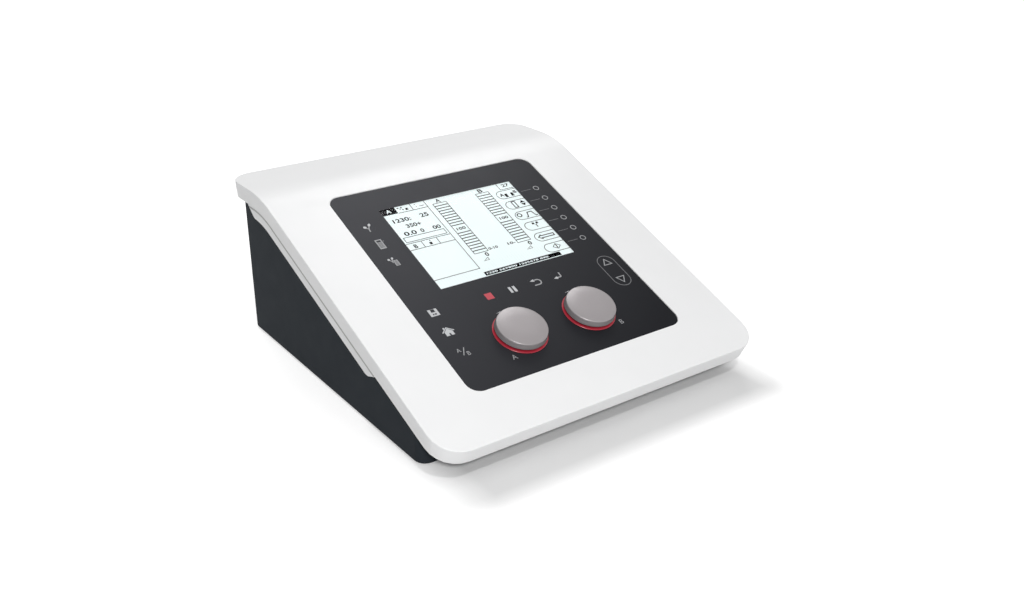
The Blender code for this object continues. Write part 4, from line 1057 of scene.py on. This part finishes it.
def make_skirt_painted_shadow():
    """Painted shadow line on the skirts just under the cover's rim, a grey strip where the rim's shade falls,
    which follows the cover's bend.
    """
    cover = nodes["top_cover"].data.vertices
    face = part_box("top_cover")[1].x - SKIRT_INSET
    line = []
    for point in sorted({(vert.co.y, vert.co.z) for vert in cover if abs(vert.co.x - face) < NEAR}):
        while len(line) > 1 and rises_past(line[-2], line[-1], point):
            line.pop()
        line.append(point)
    for end, inward in ((0, 1), (-1, -2)):
        here, towards = Vector(line[end]), Vector(line[inward])
        line[end] = tuple(here + (towards - here).normalized() * SKIRT_END)
    # The painted shadow line runs a little below the rim's lower edge, on both skirts
    upper, lower = (offset_path(line, -drop, False) for drop in (SKIRT_SHADOW_DROP, SKIRT_SHADOW_DROP + SKIRT_SHADOW_WIDTH))
    shape = bmesh.new()
    for outside, inside in ((face + PRINT, face - NEAR), (-face - PRINT, -face + NEAR)):
        prism(shape, upper + lower[::-1], min(outside, inside), max(outside, inside))
    along = Matrix(((0, 0, 1, 0), (1, 0, 0, 0), (0, 1, 0, 0), (0, 0, 0, 1)))
    piece("skirt_seam", as_mesh("skirt_seam", shape, along), "console", "seam_grey", slot="white_moulding")


def rear_place(node, x, z):
    """Where a line from behind meets a CAD node, with the face's own slant."""
    shape = bmesh.new()
    shape.from_mesh(nodes[node].data)
    found, normal, _, _ = BVHTree.FromBMesh(shape).ray_cast(Vector((x, 1, z)), Vector((0, -1, 0)))
    shape.free()
    across = Vector((-1, 0, 0))
    place = Matrix((across, normal.cross(across), normal)).transposed().to_4x4()
    place.translation = found
    return place


def make_rear_print():
    """Channel letters over the two output sockets."""
    for node, letter in (("socket_a", "A"), ("socket_b", "B")):
        low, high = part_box(node)
        place = rear_place("rear_panel", (low.x + high.x) / 2, high.z + REAR_LETTER_RISE)
        shape = bmesh.new()
        Pen(shape, (0, 0), MILLIMETRE).text(letter, 0, 0, REAR_LETTER)
        piece(f"{node}_letter", as_mesh(f"{node}_letter", shape, place), "console", "print_grey")


def make_rocker_marks():
    """On and off marks, printed on the two slopes of the rocker."""
    low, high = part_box("switch_rocker")
    middle = (low + high) / 2
    for name, rise in (("on", ROCKER_MARK_RISE), ("off", -ROCKER_MARK_RISE)):
        shape = bmesh.new()
        pen = Pen(shape, (0, 0), MILLIMETRE)
        if name == "on":
            pen.box(-0.3, -1.8, 0.3, 1.8)
        else:
            pen.line(circle(0, 0, 1.6), 0.6, closed=True)
        place = rear_place("switch_rocker", middle.x, middle.z + rise)
        piece(f"rocker_mark_{name}", as_mesh(f"rocker_mark_{name}", shape, place), "rocker", "print_pale")


def make_socket_pins():
    """Contact pins that stand in a ring on the floor of each output socket."""
    for node, (count, ring_radius) in SOCKET_PINS.items():
        low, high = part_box(node)
        place = rear_place(node, (low.x + high.x) / 2, (low.z + high.z) / 2)
        pins = repeated(PIN_RING, "brass", Count=count, Ring=ring_radius, Pin=PIN_RADIUS, Length=PIN_LENGTH)
        shape = bmesh.new()
        shape.from_mesh(pins)
        bmesh.ops.translate(shape, verts=shape.verts, vec=(0, 0, PIN_LENGTH / 2 - NEAR))
        piece(f"{node}_pins", as_mesh(f"{node}_pins", shape, place), "console", "brass", slot="brass")


# Floor, light and camera

def floor_finish():
    """Pale floor whose glow stays low in a painted shadow patch under the front, so the lamps' shadow shows there,
    and shows white elsewhere.
    """
    material, tree, shader = shader_of("floor")
    shader.inputs["Base Color"].default_value = (FLOOR_SHADE, FLOOR_SHADE, FLOOR_SHADE, 1)
    shader.inputs["Roughness"].default_value = FLOOR_ROUGHNESS
    shader.inputs["Specular IOR Level"].default_value = 0.0
    shader.inputs["Emission Color"].default_value = (1, 1, 1, 1)
    away = object_place(tree)
    # Distance from the painted shadow patch; the floor's glow rises with it
    steps = (
        ("SUBTRACT", PAINTED_SHADOW_MIDDLE),
        ("ABSOLUTE", None),
        ("SUBTRACT", PAINTED_SHADOW_HALF),
        ("MAXIMUM", (0, 0, 0)),
    )
    for operation, value in steps:
        step = tree.nodes.new("ShaderNodeVectorMath")
        step.operation = operation
        tree.links.new(away, step.inputs[0])
        if value:
            step.inputs[1].default_value = value
        away = step.outputs["Vector"]
    far = tree.nodes.new("ShaderNodeVectorMath")
    far.operation = "LENGTH"
    tree.links.new(away, far.inputs[0])
    glow = ramp(tree, far.outputs["Value"], *((reach, [level] * 3) for reach, level in FLOOR_GLOW))
    strength = tree.nodes.new("ShaderNodeMath")
    strength.operation = "MULTIPLY"
    tree.links.new(seen_rays(tree), strength.inputs[0])
    tree.links.new(glow, strength.inputs[1])
    tree.links.new(strength.outputs["Value"], shader.inputs["Emission Strength"])
    return material


def make_floor():
    mesh = bpy.data.meshes.new("floor")
    corners = rectangle(-FLOOR_REACH, -FLOOR_REACH, FLOOR_REACH, FLOOR_REACH)
    mesh.from_pydata([(x, y, 0) for x, y in corners], [], [(0, 1, 2, 3)])
    mesh.materials.append(floor_finish())
    floor = bpy.data.objects.new("floor", mesh)
    bpy.context.scene.collection.objects.link(floor)


def make_light():
    """White surroundings and the soft lamps."""
    world = bpy.data.worlds.new("studio")
    bpy.context.scene.world = world
    world.use_nodes = True
    tree = world.node_tree
    sky = tree.nodes["Background"]
    sky.inputs["Color"].default_value = (1, 1, 1, 1)
    strength = tree.nodes.new("ShaderNodeMapRange")
    strength.inputs["To Min"].default_value = SKY
    strength.inputs["To Max"].default_value = 1.0
    tree.links.new(seen_rays(tree), strength.inputs["Value"])
    tree.links.new(strength.outputs["Result"], sky.inputs["Strength"])
    for name, (place, size, power) in LAMPS.items():
        data = bpy.data.lights.new(name, "AREA")
        data.shape = "DISK"
        data.size = size
        data.energy = power
        lamp = bpy.data.objects.new(name, data)
        bpy.context.scene.collection.objects.link(lamp)
        lamp.location = place
        lamp.rotation_euler = (LAMP_AIM - lamp.location).to_track_quat("-Z", "Y").to_euler()


def make_camera():
    data = bpy.data.cameras.new("camera")
    data.lens = CAMERA_LENS
    data.sensor_width = SENSOR_WIDTH
    data.shift_x, data.shift_y = CAMERA_SHIFT
    data.clip_start = CAMERA_NEAR
    camera = bpy.data.objects.new("camera", data)
    bpy.context.scene.collection.objects.link(camera)
    camera.location = PANEL.translation + CAMERA_FROM_PANEL
    camera.rotation_euler = [math.radians(angle) for angle in CAMERA_TURN]
    bpy.context.scene.camera = camera


bpy.context.scene.view_settings.view_transform = "Standard"
for startup in ("Cube", "Light", "Camera"):
    if startup in bpy.data.objects:
        bpy.data.objects.remove(bpy.data.objects[startup], do_unlink=True)
dress_cad_nodes()
make_skirt_painted_shadow()
make_rear_print()
make_rocker_marks()
make_socket_pins()
make_foil()
make_keys()
make_panel_print()
for ending in dial_places:
    make_dial(ending)
    make_dial_ring(ending)
make_screen()
make_floor()
make_light()
make_camera()
